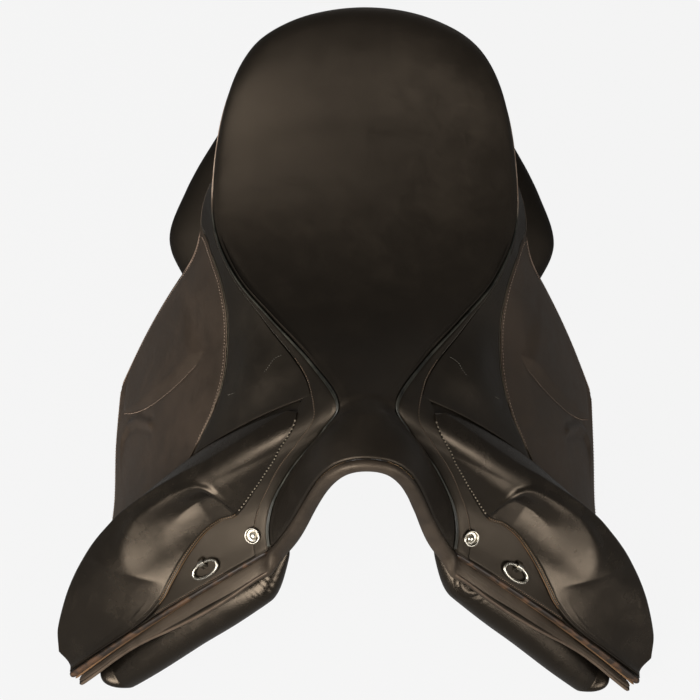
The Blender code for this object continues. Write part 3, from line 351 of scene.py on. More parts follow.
def sideRun(count, spotAt):
    # points and normals of a line on the side; spotAt(share) gives p, f and height
    points, ups = [], []
    for k in range(count + 1):
        p, f, lift = spotAt(k / count)
        normal = sideNormal(p, f)
        points.append(sidePoint(p, f) + normal * lift)
        ups.append(normal)
    return points, ups


def seamPath(place, edge, distance, top, count=60, span=(0.0, 1.0)):
    # a sewn line at a distance from one edge of a leather
    lengthwise = edge in ("near", "far")

    def spotAt(share):
        s = mix(span[0], span[1], share)
        line = [sidePoint(*(place(s, k) if lengthwise else place(k, s))) for k in (0.0, 0.5, 1.0)]
        inset = distance / ((line[1] - line[0]).length + (line[2] - line[1]).length)
        inset = inset if edge in ("near", "front") else 1 - inset
        return (*(place(s, inset) if lengthwise else place(inset, s)), top)
    return sideRun(count, spotAt)


thread = {"pitch": 0.0034, "long": 0.0016, "radius": 0.00062, "lean": 0.20}


def stitches(name, runs, size=1.0):
    # small rounded stitches laid end to end along each run of points
    verts, faces = [], []
    around, rows = 6, 5
    for points, ups in runs:
        lengths = [0.0]
        for a, b in zip(points, points[1:]):
            lengths.append(lengths[-1] + (b - a).length)
        pitch = thread["pitch"] * size
        for n in range(int(lengths[-1] / pitch)):
            at = (n + 0.5) * pitch
            k = max(i for i, d in enumerate(lengths) if d <= at)
            k = min(k, len(points) - 2)
            t = (at - lengths[k]) / max(lengths[k + 1] - lengths[k], 1e-9)
            centre = points[k].lerp(points[k + 1], t)
            up = ups[k].lerp(ups[k + 1], t).normalized()
            ahead = (points[k + 1] - points[k]).normalized()
            across = up.cross(ahead).normalized()
            ahead = (ahead + across * thread["lean"]).normalized()
            across = up.cross(ahead).normalized()
            base = len(verts)
            for i in range(rows):
                s = 2 * i / (rows - 1) - 1
                fat = sqrt(max(1 - abs(s) ** 2.4, 0.0)) * 0.85 + 0.15
                middle = centre + ahead * (s * thread["long"] * size / 2) - up * (abs(s) ** 3 * 0.0004)
                for j in range(around):
                    turn = 2 * pi * j / around
                    verts.append(middle + (across * cos(turn) + up * sin(turn)) * (thread["radius"] * size * fat))
            for i in range(rows - 1):
                for j in range(around):
                    m = (j + 1) % around
                    faces.append((base + i * around + j, base + i * around + m,
                                  base + (i + 1) * around + m, base + (i + 1) * around + j))
            faces.append(tuple(base + j for j in reversed(range(around))))
            faces.append(tuple(base + (rows - 1) * around + j for j in range(around)))
    mesh = bpy.data.meshes.new(name)
    mesh.from_pydata([tuple(v) for v in verts], [], faces)
    mesh.shade_smooth()
    return addObject(name, mesh)


class Socket:
    # wraps a node socket so that shader maths reads as plain expressions
    def __init__(self, tree, socket):
        self.tree, self.socket = tree, socket

    def math(self, operation, other=None, swap=False):
        node = self.tree.nodes.new("ShaderNodeMath")
        node.operation = operation
        pair = [self, other] if not swap else [other, self]
        for slot, value in zip(node.inputs, pair):
            if isinstance(value, Socket):
                self.tree.links.new(value.socket, slot)
            elif value is not None:
                slot.default_value = value
        return Socket(self.tree, node.outputs[0])

    def __add__(self, other): return self.math("ADD", other)
    def __radd__(self, other): return self.math("ADD", other, True)
    def __sub__(self, other): return self.math("SUBTRACT", other)
    def __rsub__(self, other): return self.math("SUBTRACT", other, True)
    def __mul__(self, other): return self.math("MULTIPLY", other)
    def __rmul__(self, other): return self.math("MULTIPLY", other, True)
    def __truediv__(self, other): return self.math("DIVIDE", other)
    def __pow__(self, other): return self.math("POWER", other)


class Paint:
    def __init__(self, name):
        self.material = bpy.data.materials.new(name)
        self.material.use_nodes = True
        self.tree = self.material.node_tree
        self.shader = self.tree.nodes["Principled BSDF"]
        self.place = Socket(self.tree, self.node("ShaderNodeTexCoord").outputs["Object"])

    def node(self, kind, settings=None, **values):
        made = self.tree.nodes.new(kind)
        for key, value in (settings or {}).items():
            setattr(made, key, value)
        for key, value in values.items():
            slot = made.inputs[key.replace("_", " ")]
            if isinstance(value, Socket):
                self.tree.links.new(value.socket, slot)
            else:
                slot.default_value = value
        return made

    def noise(self, scale, detail=3.0, rough=0.5, distort=0.0, place=None):
        made = self.node("ShaderNodeTexNoise", Vector=place or self.place, Scale=scale, Detail=detail,
                         Roughness=rough, Distortion=distort)
        return Socket(self.tree, made.outputs["Fac"])

    def cells(self, scale, feature="DISTANCE_TO_EDGE", place=None):
        made = self.node("ShaderNodeTexVoronoi", {"feature": feature}, Vector=place or self.place, Scale=scale)
        return Socket(self.tree, made.outputs["Distance"])

    def wave(self, scale, distort, place=None):
        made = self.node("ShaderNodeTexWave", Vector=place or self.place, Scale=scale, Distortion=distort, Detail=3.0)
        return Socket(self.tree, made.outputs["Fac"])

    def stretched(self, size):
        made = self.node("ShaderNodeMapping", Vector=self.place, Scale=size)
        return Socket(self.tree, made.outputs["Vector"])

    def span(self, value, low, high, toLow=0.0, toHigh=1.0):
        made = self.node("ShaderNodeMapRange", {"interpolation_type": "SMOOTHSTEP"}, Value=value)
        for key, number in (("From Min", low), ("From Max", high), ("To Min", toLow), ("To Max", toHigh)):
            made.inputs[key].default_value = number
        return Socket(self.tree, made.outputs["Result"])

    def blend(self, share, first, second):
        made = self.node("ShaderNodeMix", {"data_type": "RGBA"})
        for slot, value in ((made.inputs[0], share), (made.inputs[6], first), (made.inputs[7], second)):
            if isinstance(value, Socket):
                self.tree.links.new(value.socket, slot)
            else:
                slot.default_value = (*value, 1.0) if isinstance(value, tuple) else value
        return Socket(self.tree, made.outputs[2])

    def bump(self, height, strength, distance, under=None):
        values = {"Height": height, "Strength": strength, "Distance": distance}
        made = self.node("ShaderNodeBump", **values)
        if under:
            self.tree.links.new(under.socket, made.inputs["Normal"])
        return Socket(self.tree, made.outputs["Normal"])

    def finish(self, colour, roughness, metallic=0.0, normal=None, **fixed):
        inputs = {"Base Color": colour, "Roughness": roughness, "Metallic": metallic, "Normal": normal}
        for key, value in inputs.items():
            slot = self.shader.inputs[key]
            if isinstance(value, Socket):
                self.tree.links.new(value.socket, slot)
            elif value is not None:
                slot.default_value = (*value, 1.0) if isinstance(value, tuple) else value
        for key, value in fixed.items():
            self.shader.inputs[key.replace("_", " ")].default_value = value
        return self.material


hides = {
    # name: base colour, worn colour, roughness, grain size per metre, grain depth, wear share
    "seatHide": ((0.0058, 0.0046, 0.0035), (0.012, 0.0094, 0.0068), 0.40, 1300, 0.00010, 0.62),
    "blackHide": ((0.0050, 0.0042, 0.0032), (0.011, 0.0092, 0.0068), 0.42, 1500, 0.00008, 0.62),
    "blockHide": ((0.0055, 0.0044, 0.0033), (0.012, 0.0096, 0.0070), 0.23, 1500, 0.00005, 0.62),
    "rollHide": ((0.0055, 0.0045, 0.0034), (0.012, 0.0096, 0.0068), 0.24, 1000, 0.00006, 0.66),
    "panelHide": ((0.0055, 0.0046, 0.0036), (0.010, 0.0086, 0.0068), 0.46, 1200, 0.00012, 0.70),
    "brownHide": ((0.0260, 0.0180, 0.0125), (0.0440, 0.0310, 0.0225), 0.46, 1500, 0.00012, 0.52),
    "liningHide": ((0.0220, 0.0165, 0.0120), (0.0480, 0.0360, 0.0265), 0.42, 1100, 0.00012, 0.50),
    "bindHide": ((0.0480, 0.0340, 0.0250), (0.1050, 0.0760, 0.0550), 0.42, 1300, 0.00008, 0.50),
    "tanHide": ((0.0700, 0.0370, 0.0170), (0.1800, 0.1000, 0.0480), 0.50, 1300, 0.00008, 0.50),
    "cutHide": ((0.1700, 0.1150, 0.0850), (0.3200, 0.2300, 0.1800), 0.50, 1300, 0.00008, 0.50),
    "oliveHide": ((0.0300, 0.0280, 0.0190), (0.0600, 0.0560, 0.0400), 0.42, 1300, 0.00008, 0.50),
}


gloss = {"panelHide": 0.22, "blackHide": 0.50}  # the other hides have 0.60


def hide(name):
    colour, worn, rough, grain, depth, wear = hides[name]
    paint = Paint(name)
    broad = paint.noise(9.0, 4.0, 0.55, 0.6)
    patches = paint.noise(42.0, 5.0, 0.6, 0.3)
    pores = paint.cells(grain)
    fine = paint.noise(grain * 2.2, 2.0, 0.5)
    scratches = paint.noise(60.0, 3.0, 0.6, 2.5, paint.stretched((1.0, 6.0, 2.0)))
    worn01 = paint.span(broad * 0.65 + patches * 0.35, wear - 0.14, wear + 0.12)
    lines = paint.span(scratches, 0.66, 0.74)
    base = paint.blend(worn01, colour, worn)
    base = paint.blend(lines * 0.35, base, tuple(1.5 * c for c in worn))
    height = paint.span(pores, 0.0, 0.16) * 0.75 + fine * 0.25
    ripple = paint.bump(broad, 0.35, 0.0012)
    normal = paint.bump(height, 0.55, depth, ripple)
    roughness = paint.span(broad * 0.4 + patches * 0.6, 0.25, 0.75, rough - 0.07, rough + 0.09) + lines * 0.06
    return paint.finish(base, roughness, 0.0, normal, Specular_IOR_Level=gloss.get(name, 0.60),
                        Specular_Tint=(1.0, 0.81, 0.62, 1.0))


def wornEdge():
    # cut and burnished leather edge: dark core with orange-brown worn places
    paint = Paint("wornEdge")
    streaks = paint.noise(55.0, 5.0, 0.65, 0.8, paint.stretched((1.0, 1.0, 1.0)))
    fibres = paint.noise(700.0, 3.0, 0.6)
    share = paint.span(streaks, 0.46, 0.62)
    colour = paint.blend(share, (0.018, 0.012, 0.008), (0.090, 0.045, 0.021))
    colour = paint.blend(fibres * 0.3, colour, (0.03, 0.018, 0.011))
    normal = paint.bump(fibres * 0.6 + streaks * 0.4, 0.5, 0.0004)
    return paint.finish(colour, paint.span(streaks, 0.3, 0.7, 0.42, 0.60), 0.0, normal)


threadColours = {
    "darkThread": ((0.050, 0.043, 0.034), (0.110, 0.095, 0.075)),
    "greyThread": ((0.080, 0.073, 0.058), (0.15, 0.135, 0.11)),
    "brownThread": ((0.13, 0.085, 0.052), (0.24, 0.165, 0.11)),
    "peachThread": ((0.20, 0.14, 0.105), (0.34, 0.25, 0.19)),
    "paleThread": ((0.20, 0.165, 0.12), (0.33, 0.28, 0.21)),
    "orangeThread": ((0.16, 0.085, 0.030), (0.30, 0.17, 0.065)),
}


def threadPaint(name, colour, light):
    paint = Paint(name)
    twist = paint.noise(900.0, 2.0, 0.5)
    return paint.finish(paint.blend(twist, colour, light), 0.62, 0.0, paint.bump(twist, 0.4, 0.0001))


def metalPaint(name, colour, dull, rough):
    paint = Paint(name)
    cloud = paint.noise(160.0, 4.0, 0.6)
    fine = paint.noise(1400.0, 2.0, 0.5)
    tint = paint.blend(paint.span(cloud, 0.5, 0.75), colour, dull)
    return paint.finish(tint, paint.span(cloud, 0.35, 0.75, rough, rough + 0.16), 1.0, paint.bump(fine, 0.12, 0.0001))


def woodPaint():
    paint = Paint("laminatedBeech")
    grain = paint.noise(14.0, 6.0, 0.6, 1.2, paint.stretched((9.0, 1.0, 9.0)))
    plies = paint.wave(90.0, 0.6, paint.stretched((0.2, 0.1, 1.0)))
    colour = paint.blend(grain, (0.36, 0.21, 0.10), (0.55, 0.36, 0.19))
    colour = paint.blend(plies * 0.25, colour, (0.28, 0.15, 0.07))
    return paint.finish(colour, 0.45, 0.0, paint.bump(grain, 0.3, 0.0003))


def webPaint():
    paint = Paint("nylonWeb")
    weave = paint.wave(520.0, 0.0) * paint.wave(520.0, 0.0, paint.stretched((0.0, 1.0, 1.0)))
    dirt = paint.noise(35.0, 4.0)
    colour = paint.blend(dirt, (0.42, 0.38, 0.29), (0.56, 0.52, 0.43))
    return paint.finish(colour, 0.85, 0.0, paint.bump(weave, 0.6, 0.0004))


def foamPaint():
    paint = Paint("seatFoam")
    holes = paint.cells(700.0, "F1")
    tint = paint.noise(20.0, 3.0)
    colour = paint.blend(tint, (0.62, 0.56, 0.36), (0.70, 0.66, 0.50))
    return paint.finish(colour, 0.95, 0.0, paint.bump(holes, 0.5, 0.0006))


def weltPaint():
    # the seat's welt: a painted reflection makes it pale beside the rear of the seat, greenish black in front
    paint = Paint("weltHide")
    split = paint.node("ShaderNodeSeparateXYZ", Vector=paint.place)
    # painted reflection: this mask follows Y alone and turns the rear part of the welt to the pale colour below
    rear = paint.span(Socket(paint.tree, split.outputs["Y"]), 0.085, 0.125)
    rub = paint.span(paint.noise(46.0, 4.0, 0.6), 0.35, 0.65)
    front = paint.blend(rub, (0.010, 0.010, 0.0075), (0.042, 0.041, 0.031))
    # the pale colour of the painted reflection, varied by the same rubbed noise
    back = paint.blend(rub, (0.30, 0.21, 0.15), (0.52, 0.40, 0.31))
    pores = paint.noise(1500.0, 3.0, 0.6)
    roughness = paint.span(rub, 0.0, 1.0, 0.36, 0.50)
    return paint.finish(paint.blend(rear, front, back), roughness, 0.0, paint.bump(pores, 0.4, 0.0001))


paints = {name: hide(name) for name in hides}
paints["weltHide"] = weltPaint()
paints["edge"] = wornEdge()
for name, (colour, light) in threadColours.items():
    paints[name] = threadPaint(name, colour, light)
paints["nickel"] = metalPaint("nickelPlate", (0.46, 0.43, 0.37), (0.28, 0.25, 0.20), 0.20)
paints["steel"] = metalPaint("forgedSteel", (0.42, 0.42, 0.43), (0.26, 0.25, 0.25), 0.34)
paints["wood"] = woodPaint()
paints["web"] = webPaint()
paints["foam"] = foamPaint()
cadPaint = {"steel": "steel", "nickel": "nickel", "beech_laminate": "wood", "webbing": "web", "foam": "foam",
            "black_leather": "blackHide", "brown_leather": "brownHide", "lining_leather": "liningHide"}
slotPaints = {
    "black_leather": ("seatHide", "blackHide", "rollHide", "blockHide", "weltHide", "oliveHide", "panelHide",
                      "greyThread", "brownThread", "darkThread", "paleThread"),
    "brown_leather": ("brownHide", "cutHide", "peachThread", "orangeThread"),
    "lining_leather": ("liningHide", "bindHide", "tanHide", "edge"),
    "nickel": ("nickel",),
}
slotOf = {paint: slot for slot, group in slotPaints.items() for paint in group}
for node in nodes.values():
    for spot in node.material_slots:
        key = spot.material.name.split(".")[0]
        spot.material = paints[cadPaint.get(key, "blackHide")]
print("materials made:", len(paints))


def dress(piece, paint, body, *replaced):
    piece.data.materials.clear()
    piece.data.materials.append(paints[paint])
    if replaced:
        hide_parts(*replaced)
    if body:
        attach(piece, body)
    return piece


def dressPair(piece, base, paint, body, *replaced):
    # the left piece and its mirror image; {} in a name stands for the side
    for word in ("left", "right"):
        item = piece if word == "left" else mirrored(piece, base + "_right")
        dress(item, paint, body.format(word), *[r.format(word) for r in replaced])
    return piece


def sew(base, run, size, paint, body):
    dressPair(stitches(base + "_left", [run], size), base, paint, body)


def rim(base, run, wide, high, paint, body, *replaced, around=8, ends=3, shape=None):
    dressPair(tube(base + "_left", *run, wide, high, around, ends, shape), base, paint, body, *replaced)


def blendPair(base, spotA, spotB):
    # bakes the transforms of a piece and its mirror; the points at spotA, on the tree's side of the line where the flap
    # lifts, and spotB, on the flap's side, are found but not used
    for side, word in ((1, "left"), (-1, "right")):
        start, end = sidePoint(*spotA), sidePoint(*spotB)
        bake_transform(bpy.data.objects[base + "_" + word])


# lines on the side surface, each gives f at a p
borderLine = [0.060, 0.062, 0.064, 0.084, 0.068, 0.040, 0.031, 0.028, 0.023, 0.018, 0.018]
apronLine = [0.115, 0.120, 0.126, 0.128, 0.116, 0.104, 0.110, 0.123, 0.104, 0.076]
apronReach = 0.44
gapPlaces = [0.42, 0.504, 0.595, 0.662, 0.739, 0.783, 0.845, 0.910, 0.986, 1.066]
gapLine = [0.52, 0.424, 0.323, 0.255, 0.202, 0.170, 0.122, 0.086, 0.091, 0.135]
cornerPlaces = [0.966, 0.980, 1.000, 1.030, 1.066, 1.100, 1.130, 1.150, 1.170]
cornerLine = [0.080, 0.083, 0.086, 0.105, 0.128, 0.119, 0.099, 0.069, 0.022]


def lineAt(places, values, p):
    # a smooth line through uneven places
    last = len(places) - 2
    k = max([i for i, place in enumerate(places) if place <= p] + [0])
    k = min(k, last)
    t = (p - places[k]) / (places[k + 1] - places[k])
    return spline([(v,) for v in values], k + min(max(t, -0.5), 1.5 if k == last else 1.0))[0]


def borderF(p):
    return along(borderLine, p) if p <= 1.0 else mix(0.018, 0.002, min((p - 1.0) / 0.055, 1.0))


def apronF(p):
    return along(apronLine, p / apronReach)


def gapF(p):
    return lineAt(gapPlaces, gapLine, p)


seat = {"rows": 170, "across": 110, "groove": 0.0013, "rim": 0.0026, "soft": 0.0005, "fill": 0.8}


def seatEdge(u):
    seam = seatPoint(u, 1.0)
    run = (seatPoint(min(u + 0.01, 1.0), 1.0) - seatPoint(max(u - 0.01, 0.0), 1.0)).normalized()
    v = 1.0
    while (seatPoint(u, v) - seam).cross(run).length < seat["groove"]:
        v -= 0.002
    return v, run


def makeSeat():
    low, high = [], []
    rows, across = seat["rows"], seat["across"]
    for i in range(rows + 1):
        u = i / rows
        reach, run = seatEdge(u)
        edgePoint = seatPoint(u, reach)
        lowRow, highRow = [], []
        for j in range(across + 1):
            s = 2 * j / across - 1
            s = (1 if s >= 0 else -1) * (1 - (1 - abs(s)) ** 1.35)  # closer together by the seams
            v = s * reach
            point, normal = seatPoint(u, v), seatNormal(u, v)
            mirror = Vector((abs(point.x), point.y, point.z))
            gap = (mirror - edgePoint).cross(run).length
            endGap = min(u * 0.50, (1 - u) * 0.16) + 1e-5
            lift = -rimDrop(gap, seat["rim"]) - 0.8 * rimDrop(endGap, seat["rim"])
            lift -= 0.0006 * bell(gap - 0.006, 0.0035)
            lift += noise.noise(point * 11) * seat["soft"] + noise.noise(point * 40) * 0.00018
            # faint fold across the neck where the padding ends
            neck = 0.602 - 0.030 * (1 - abs(v)) ** 0.5
            lift += 0.0010 * smoothStep((neck - u) / 0.012) * smoothStep((u - neck + 0.06) / 0.05) * (1 - abs(v) ** 3)
            highRow.append(point + normal * lift)
            lowRow.append(point - normal * (leather + 0.0005))
        low.append(lowRow)
        high.append(highRow)
    piece = closedGrid("seatCover", low, high, 50)
    dress(piece, "seatHide", tree, "seat_cover")


makeSeat()

welt = {"radius": 0.00125, "first": 0.10, "steps": 320, "flange": 0.0046}


def makeWelt():
    # two fine cords side by side in the seat's seam, on the sewn-down strip that they belong to
    for number, shift, radius in ((1, -0.0009, 1.0), (2, 0.0014, 0.8), (3, 0.0, 0.0)):
        path, ups, sizes = [], [], []
        for i in range(welt["steps"] + 1):
            u = mix(welt["first"], 0.996, i / welt["steps"])
            point, normal = seatPoint(u, 1.0), seatNormal(u, 0.985)
            run = (seatPoint(min(u + 0.004, 1.0), 1.0) - seatPoint(max(u - 0.004, 0.0), 1.0)).normalized()
            out = run.cross(normal).normalized()
            lean = (normal + out * 0.5).normalized()
            if number < 3:
                path.append(point + normal * 0.0003 + out * shift)
                ups.append(normal)
                sizes.append((welt["radius"] * radius, welt["radius"] * radius))
            else:
                path.append(point - lean * 0.0028)
                ups.append(lean)
                sizes.append((welt["flange"], 0.0012))
        if number < 3:
            piece = band("seatWelt_%d_left" % number, path, ups, sizes, 10)
            names = ["seat_piping_{}"] if number == 1 else []
            dressPair(piece, "seatWelt_%d" % number, "weltHide", tree, *names)
        else:
            piece = band("weltFlange_left", path, ups, sizes, 10, 4, 0.6)
            dressPair(piece, "weltFlange", "blackHide", tree)


makeWelt()
print("seat done")


plainSeams = {"near": [], "far": [], "front": [], "back": []}


def borderPlace(a, b):
    p = mix(-0.004, 1.050, a)
    return p, mix(-0.006, borderF(p) - 0.001, b)


def borderTuck(a, b):
    # the inner edge goes down under the welt
    return -0.0026 * (1 - smoothStep((borderPlace(a, b)[1] + 0.004) / 0.014))


piece = leatherPiece("seatBorder_left", borderPlace, 0.0006, leather, (170, 10), plainSeams, bulge=borderTuck,
                     puff=0.0005)
dressPair(piece, "seatBorder", "blackHide", tree, "seat_border_{}")
sew("borderStitches", seamPath(borderPlace, "far", 0.0018, 0.0010, 160, (0.06, 0.58)), 0.8, "brownThread", tree)
sew("rearBorderStitches", seamPath(borderPlace, "far", 0.0018, 0.0010, 120, (0.60, 0.96)), 0.7, "darkThread", tree)

cornerSeams = {**plainSeams, "far": [0.0030]}


def cornerPlace(a, b):
    p = mix(0.9625, 1.168, a)
    near = borderF(p) + 0.001 - 0.010 * smoothStep((p - 1.035) / 0.02)
    return p, mix(near, lineAt(cornerPlaces, cornerLine, p), b)


def cornerTuck(a, b):
    return -0.0014 * smoothStep((a - 0.35) / 0.1) * (1 - smoothStep(b / 0.10))


piece = leatherPiece("rearCorner_left", cornerPlace, 0.0003, leather, (70, 26), cornerSeams, bulge=cornerTuck)
dressPair(piece, "rearCorner", "blackHide", tree)
sew("cornerStitches", seamPath(cornerPlace, "far", 0.0030, 0.0004, 90, (0.30, 0.98)), 0.72, "darkThread", tree)
rim("cornerRim", seamPath(cornerPlace, "far", 0.0004, -0.0006, 90, (0.32, 0.985)), 0.0008, 0.0009, "weltHide", tree)

skirtFront = [0.448, 0.458, 0.464, 0.470]
skirtSeams = {**plainSeams, "far": [0.0028]}


def skirtPlace(a, b):
    p = mix(along(skirtFront, b), 0.9655, a)
    return p, mix(borderF(p) + 0.0002, gapF(p) - 0.0085, b)


def skirtBulge(a, b):
    crest = smoothStep(1 - abs(a - 0.27) / (0.30 if a < 0.27 else 0.45))
    return 0.008 * crest * smoothStep(1 - abs(b - 0.45) / 0.60)


piece = leatherPiece("skirt_left_leather", skirtPlace, 0.0, leather, (80, 40), skirtSeams, bulge=skirtBulge)
dressPair(piece, "skirt_leather", "blackHide", "skirt_{}", "skirt_{}")


def skirtSpot(share):
    # the curved sewn line over the skirt
    p, f = spline(skirtSeam, share * (len(skirtSeam) - 1))
    return p, f, 0.0004 + skirtBulge((p - 0.5) / 0.46, (f - borderF(p)) / max(gapF(p) - borderF(p), 0.05))


def skirtRimSpot(share):
    p = mix(0.60, 0.963, share)
    return p, gapF(p) - 0.0085, skirtBulge((p - 0.55) / 0.41, 1.0) - 0.0010


skirtSeam = [(0.589, 0.262), (0.580, 0.225), (0.579, 0.186), (0.586, 0.150), (0.600, 0.108), (0.622, 0.074),
             (0.628, 0.046)]
sew("skirtStitches", sideRun(60, skirtSpot), 0.8, "greyThread", "skirt_{}")
rim("skirtRim", sideRun(90, skirtRimSpot), 0.0010, 0.0011, "oliveHide", "skirt_{}")
print("skirts done")

# one leather from the border down to the block's stitched edge
front = {
    "near": [-0.004, 0.030, 0.055, 0.080, 0.105, 0.125, 0.145, 0.165, 0.215, 0.280, 0.345, 0.420, 0.453],
    "far": [(0.0035, 0.540), (0.040, 0.462), (0.074, 0.414), (0.112, 0.368), (0.145, 0.322), (0.171, 0.275),
            (0.177, 0.218), (0.1665, 0.149), (0.222, 0.119), (0.285, 0.124), (0.355, 0.138), (0.424, 0.106),
            (0.457, 0.070)],
}


def frontPlace(a, b):
    at = a * (len(front["near"]) - 1)
    p = spline([(v,) for v in front["near"]], at)[0]
    far = spline(front["far"], at)
    return mix(p, far[0], b), mix(borderF(p) - 0.008, far[1], b)


def frontTuck(a, b):
    # its upper edge lies under the border
    p, f = frontPlace(a, b)
    return -0.0030 * (1 - smoothStep((f - borderF(p) + 0.007) / 0.005))


frontSeams = {**plainSeams, "front": [0.0042]}
piece = leatherPiece("frontLeather_left", frontPlace, 0.0, leather, (150, 60), frontSeams, bulge=frontTuck)
dressPair(piece, "frontLeather", "blackHide", "", "apron_{}", "front_tab_{}")
blendPair("frontLeather", (0.10, 0.105), (0.10, 0.180))
sew("frontStitches", seamPath(frontPlace, "front", 0.0042, 0.0001, 120, (0.30, 0.995)), 0.85, "brownThread", "flap_{}")
print("front leather done")


coreTop = -(leather + 0.0004)
flapThick = 0.0037
facingTop = coreTop + 0.0010 + 0.0013
rearReach = 0.078


def cornerShift(a, b):
    # how far the upper rear corner runs on beyond the flap's rear edge
    return rearReach * a ** 6 * exp(-b / 0.065)


def coreTopF(p):
    if p <= apronReach:
        return apronF(p) + 0.008
    return min(mix(apronF(apronReach) + 0.008, 0.185, smoothStep((p - apronReach) / 0.08)), gapF(p) - 0.006)


def flapPlace(a, b):
    p = mix(0.004, 0.998, a)
    return p + cornerShift(a, b), mix(coreTopF(p + cornerShift(a, 0.0)), 1.001, b)


piece = leatherPiece("flap_left_core", flapPlace, coreTop, flapThick, (70, 50), plainSeams)
dressPair(piece, "flap_core", "blackHide", "flap_{}", "flap_{}")


def facingPlace(a, b):
    headP = mix(0.500, 0.996, a)
    footP = mix(0.115, 0.996, a)
    top = gapF(headP + cornerShift(a, 0.0)) + 0.002
    return mix(headP, footP, b) + cornerShift(a, b), mix(top, 0.998, b)


facing = {
    # the thigh pad's edge: its sewn foot and the top of its slope, as p and f, and its height
    "foot": [(0.764, 0.292), (0.744, 0.346), (0.732, 0.429), (0.731, 0.524), (0.747, 0.643), (0.790, 0.775),
             (0.850, 0.900)],
    "top": [(0.768, 0.292), (0.782, 0.346), (0.776, 0.429), (0.772, 0.524), (0.782, 0.643), (0.808, 0.775),
            (0.862, 0.900)],
    "rise": 0.0042,
    # a second fold below it
    "fold": [(0.672, 0.620), (0.700, 0.655), (0.748, 0.735), (0.780, 0.830), (0.772, 0.890), (0.726, 0.912),
             (0.603, 0.915)],
    "foldRise": 0.0030,
}


def atF(line, f):
    # p of a line at a given f
    fs = [spot[1] for spot in line]
    k = min(max([i for i, v in enumerate(fs) if v <= f] + [0]), len(line) - 2)
    t = (f - fs[k]) / (fs[k + 1] - fs[k])
    return spline([(spot[0],) for spot in line], k + min(max(t, 0.0), 1.0))[0]


perP, perF = 0.33, 0.40  # metres for a whole p and f, roughly


def farFrom(line, p, f):
    # distance in metres from a place on the flap to a line, and how far along it that is
    best = (1.0, 0.0)
    for k in range(len(line) - 1):
        ax, ay = line[k][0] * perP, line[k][1] * perF
        bx, by = line[k + 1][0] * perP, line[k + 1][1] * perF
        x, y = p * perP - ax, f * perF - ay
        dx, dy = bx - ax, by - ay
        t = min(max((x * dx + y * dy) / (dx * dx + dy * dy), 0.0), 1.0)
        best = min(best, (sqrt((x - t * dx) ** 2 + (y - t * dy) ** 2), (k + t) / (len(line) - 1)))
    return best


def facingBulge(a, b):
    p, f = facingPlace(a, b)
    lift = 0.0
    if 0.26 < f < 0.98 and p > 0.60:
        footP, topP = atF(facing["foot"], f), atF(facing["top"], f)
        strength = smoothStep((f - 0.285) / 0.08) * smoothStep((0.93 - f) / 0.10)
        slope = smoothStep((p - footP) / max(topP - footP, 0.010))
        fade = 1 - 0.85 * smoothStep((p - topP) / 0.16)
        lift += facing["rise"] * strength * slope * fade
        lift -= 0.0007 * strength * bell((p - footP) * perP, 0.0016)
    if 0.50 < f and p > 0.50:
        distance, share = farFrom(facing["fold"], p, f)
        begins = smoothStep(share / 0.10)
        lift += facing["foldRise"] * bell(distance, 0.0042) * begins * smoothStep((1 - share) / 0.3)
        lift -= 0.0010 * bell(distance - 0.0075, 0.0030) * begins * smoothStep((0.8 - share) / 0.3)
    # rib-like gathers beside the upper seam
    gap = f - gapF(min(p, 1.06))
    lift += 0.00022 * sin(p * 640) * bell(gap - 0.018, 0.012) * smoothStep((p - 0.58) / 0.1)
    # the rear edge turns over a little
    lift -= 0.0012 * smoothStep((a - 0.955) / 0.045)
    return lift


facingSeams = {"near": [0.0034], "far": [0.0034], "front": [], "back": [0.0036]}
piece = leatherPiece("facing_left", facingPlace, facingTop, 0.0013, (150, 120), facingSeams, bulge=facingBulge)
dressPair(piece, "facing", "brownHide", "flap_{}", "flap_facing_{}")
runs = [seamPath(facingPlace, "near", 0.0034, facingTop + 0.0002, 140, (0.0, 0.97)),
        seamPath(facingPlace, "back", 0.0036, facingTop - 0.0002, 90, (0.02, 0.98)),
        seamPath(facingPlace, "far", 0.0034, facingTop + 0.0002, 90, (0.3, 0.98))]
piece = stitches("facingStitches_left", runs, 1.0)
dressPair(piece, "facingStitches", "peachThread", "flap_{}")


def padSpot(share):
    return (*spline(facing["foot"][1:], share * (len(facing["foot"]) - 2)), facingTop + 0.0003)


sew("padStitches", sideRun(70, padSpot), 0.55, "peachThread", "flap_{}")
rim("facingRim", seamPath(facingPlace, "near", 0.0004, facingTop - 0.0008, 140, (0.0, 0.985)), 0.0006, 0.0006,
    "bindHide", "flap_{}")
rim("facingRearRim", seamPath(facingPlace, "back", 0.0004, facingTop - 0.0018, 140, (0.015, 0.995)), 0.0010, 0.0010,
    "cutHide", "flap_{}")
print("flaps done")

block = {
    "height": 0.068, "edge": 0.0042, "ridge": 0.80, "scoop": 0.0125, "lip": 0.0026, "fill": 0.95, "across": 0.11,
    "inner": [(0.424, 0.104), (0.355, 0.136), (0.285, 0.122), (0.222, 0.117), (0.167, 0.147), (0.178, 0.218),
              (0.172, 0.275), (0.145, 0.321), (0.112, 0.366), (0.074, 0.411), (0.036, 0.462), (0.005, 0.575),
              (0.001, 0.780), (0.004, 0.985)],
    "rear": [(0.436, 0.124), (0.446, 0.200), (0.452, 0.300), (0.457, 0.410), (0.448, 0.520), (0.427, 0.620),
             (0.390, 0.720), (0.322, 0.815), (0.250, 0.900), (0.165, 0.965), (0.085, 0.990)],
    "rise": [0.05, 0.09, 0.16, 0.25, 0.38, 0.54, 0.64, 0.69, 0.65, 0.50, 0.26],
    "hollowAt": [0.285, 0.32, 0.35, 0.38, 0.44, 0.50, 0.56, 0.62, 0.66, 0.69, 0.705, 0.725],
    "hollowTo": [-0.06, 0.19, 0.42, 0.54, 0.575, 0.585, 0.585, 0.55, 0.49, 0.40, 0.22, -0.06],
}


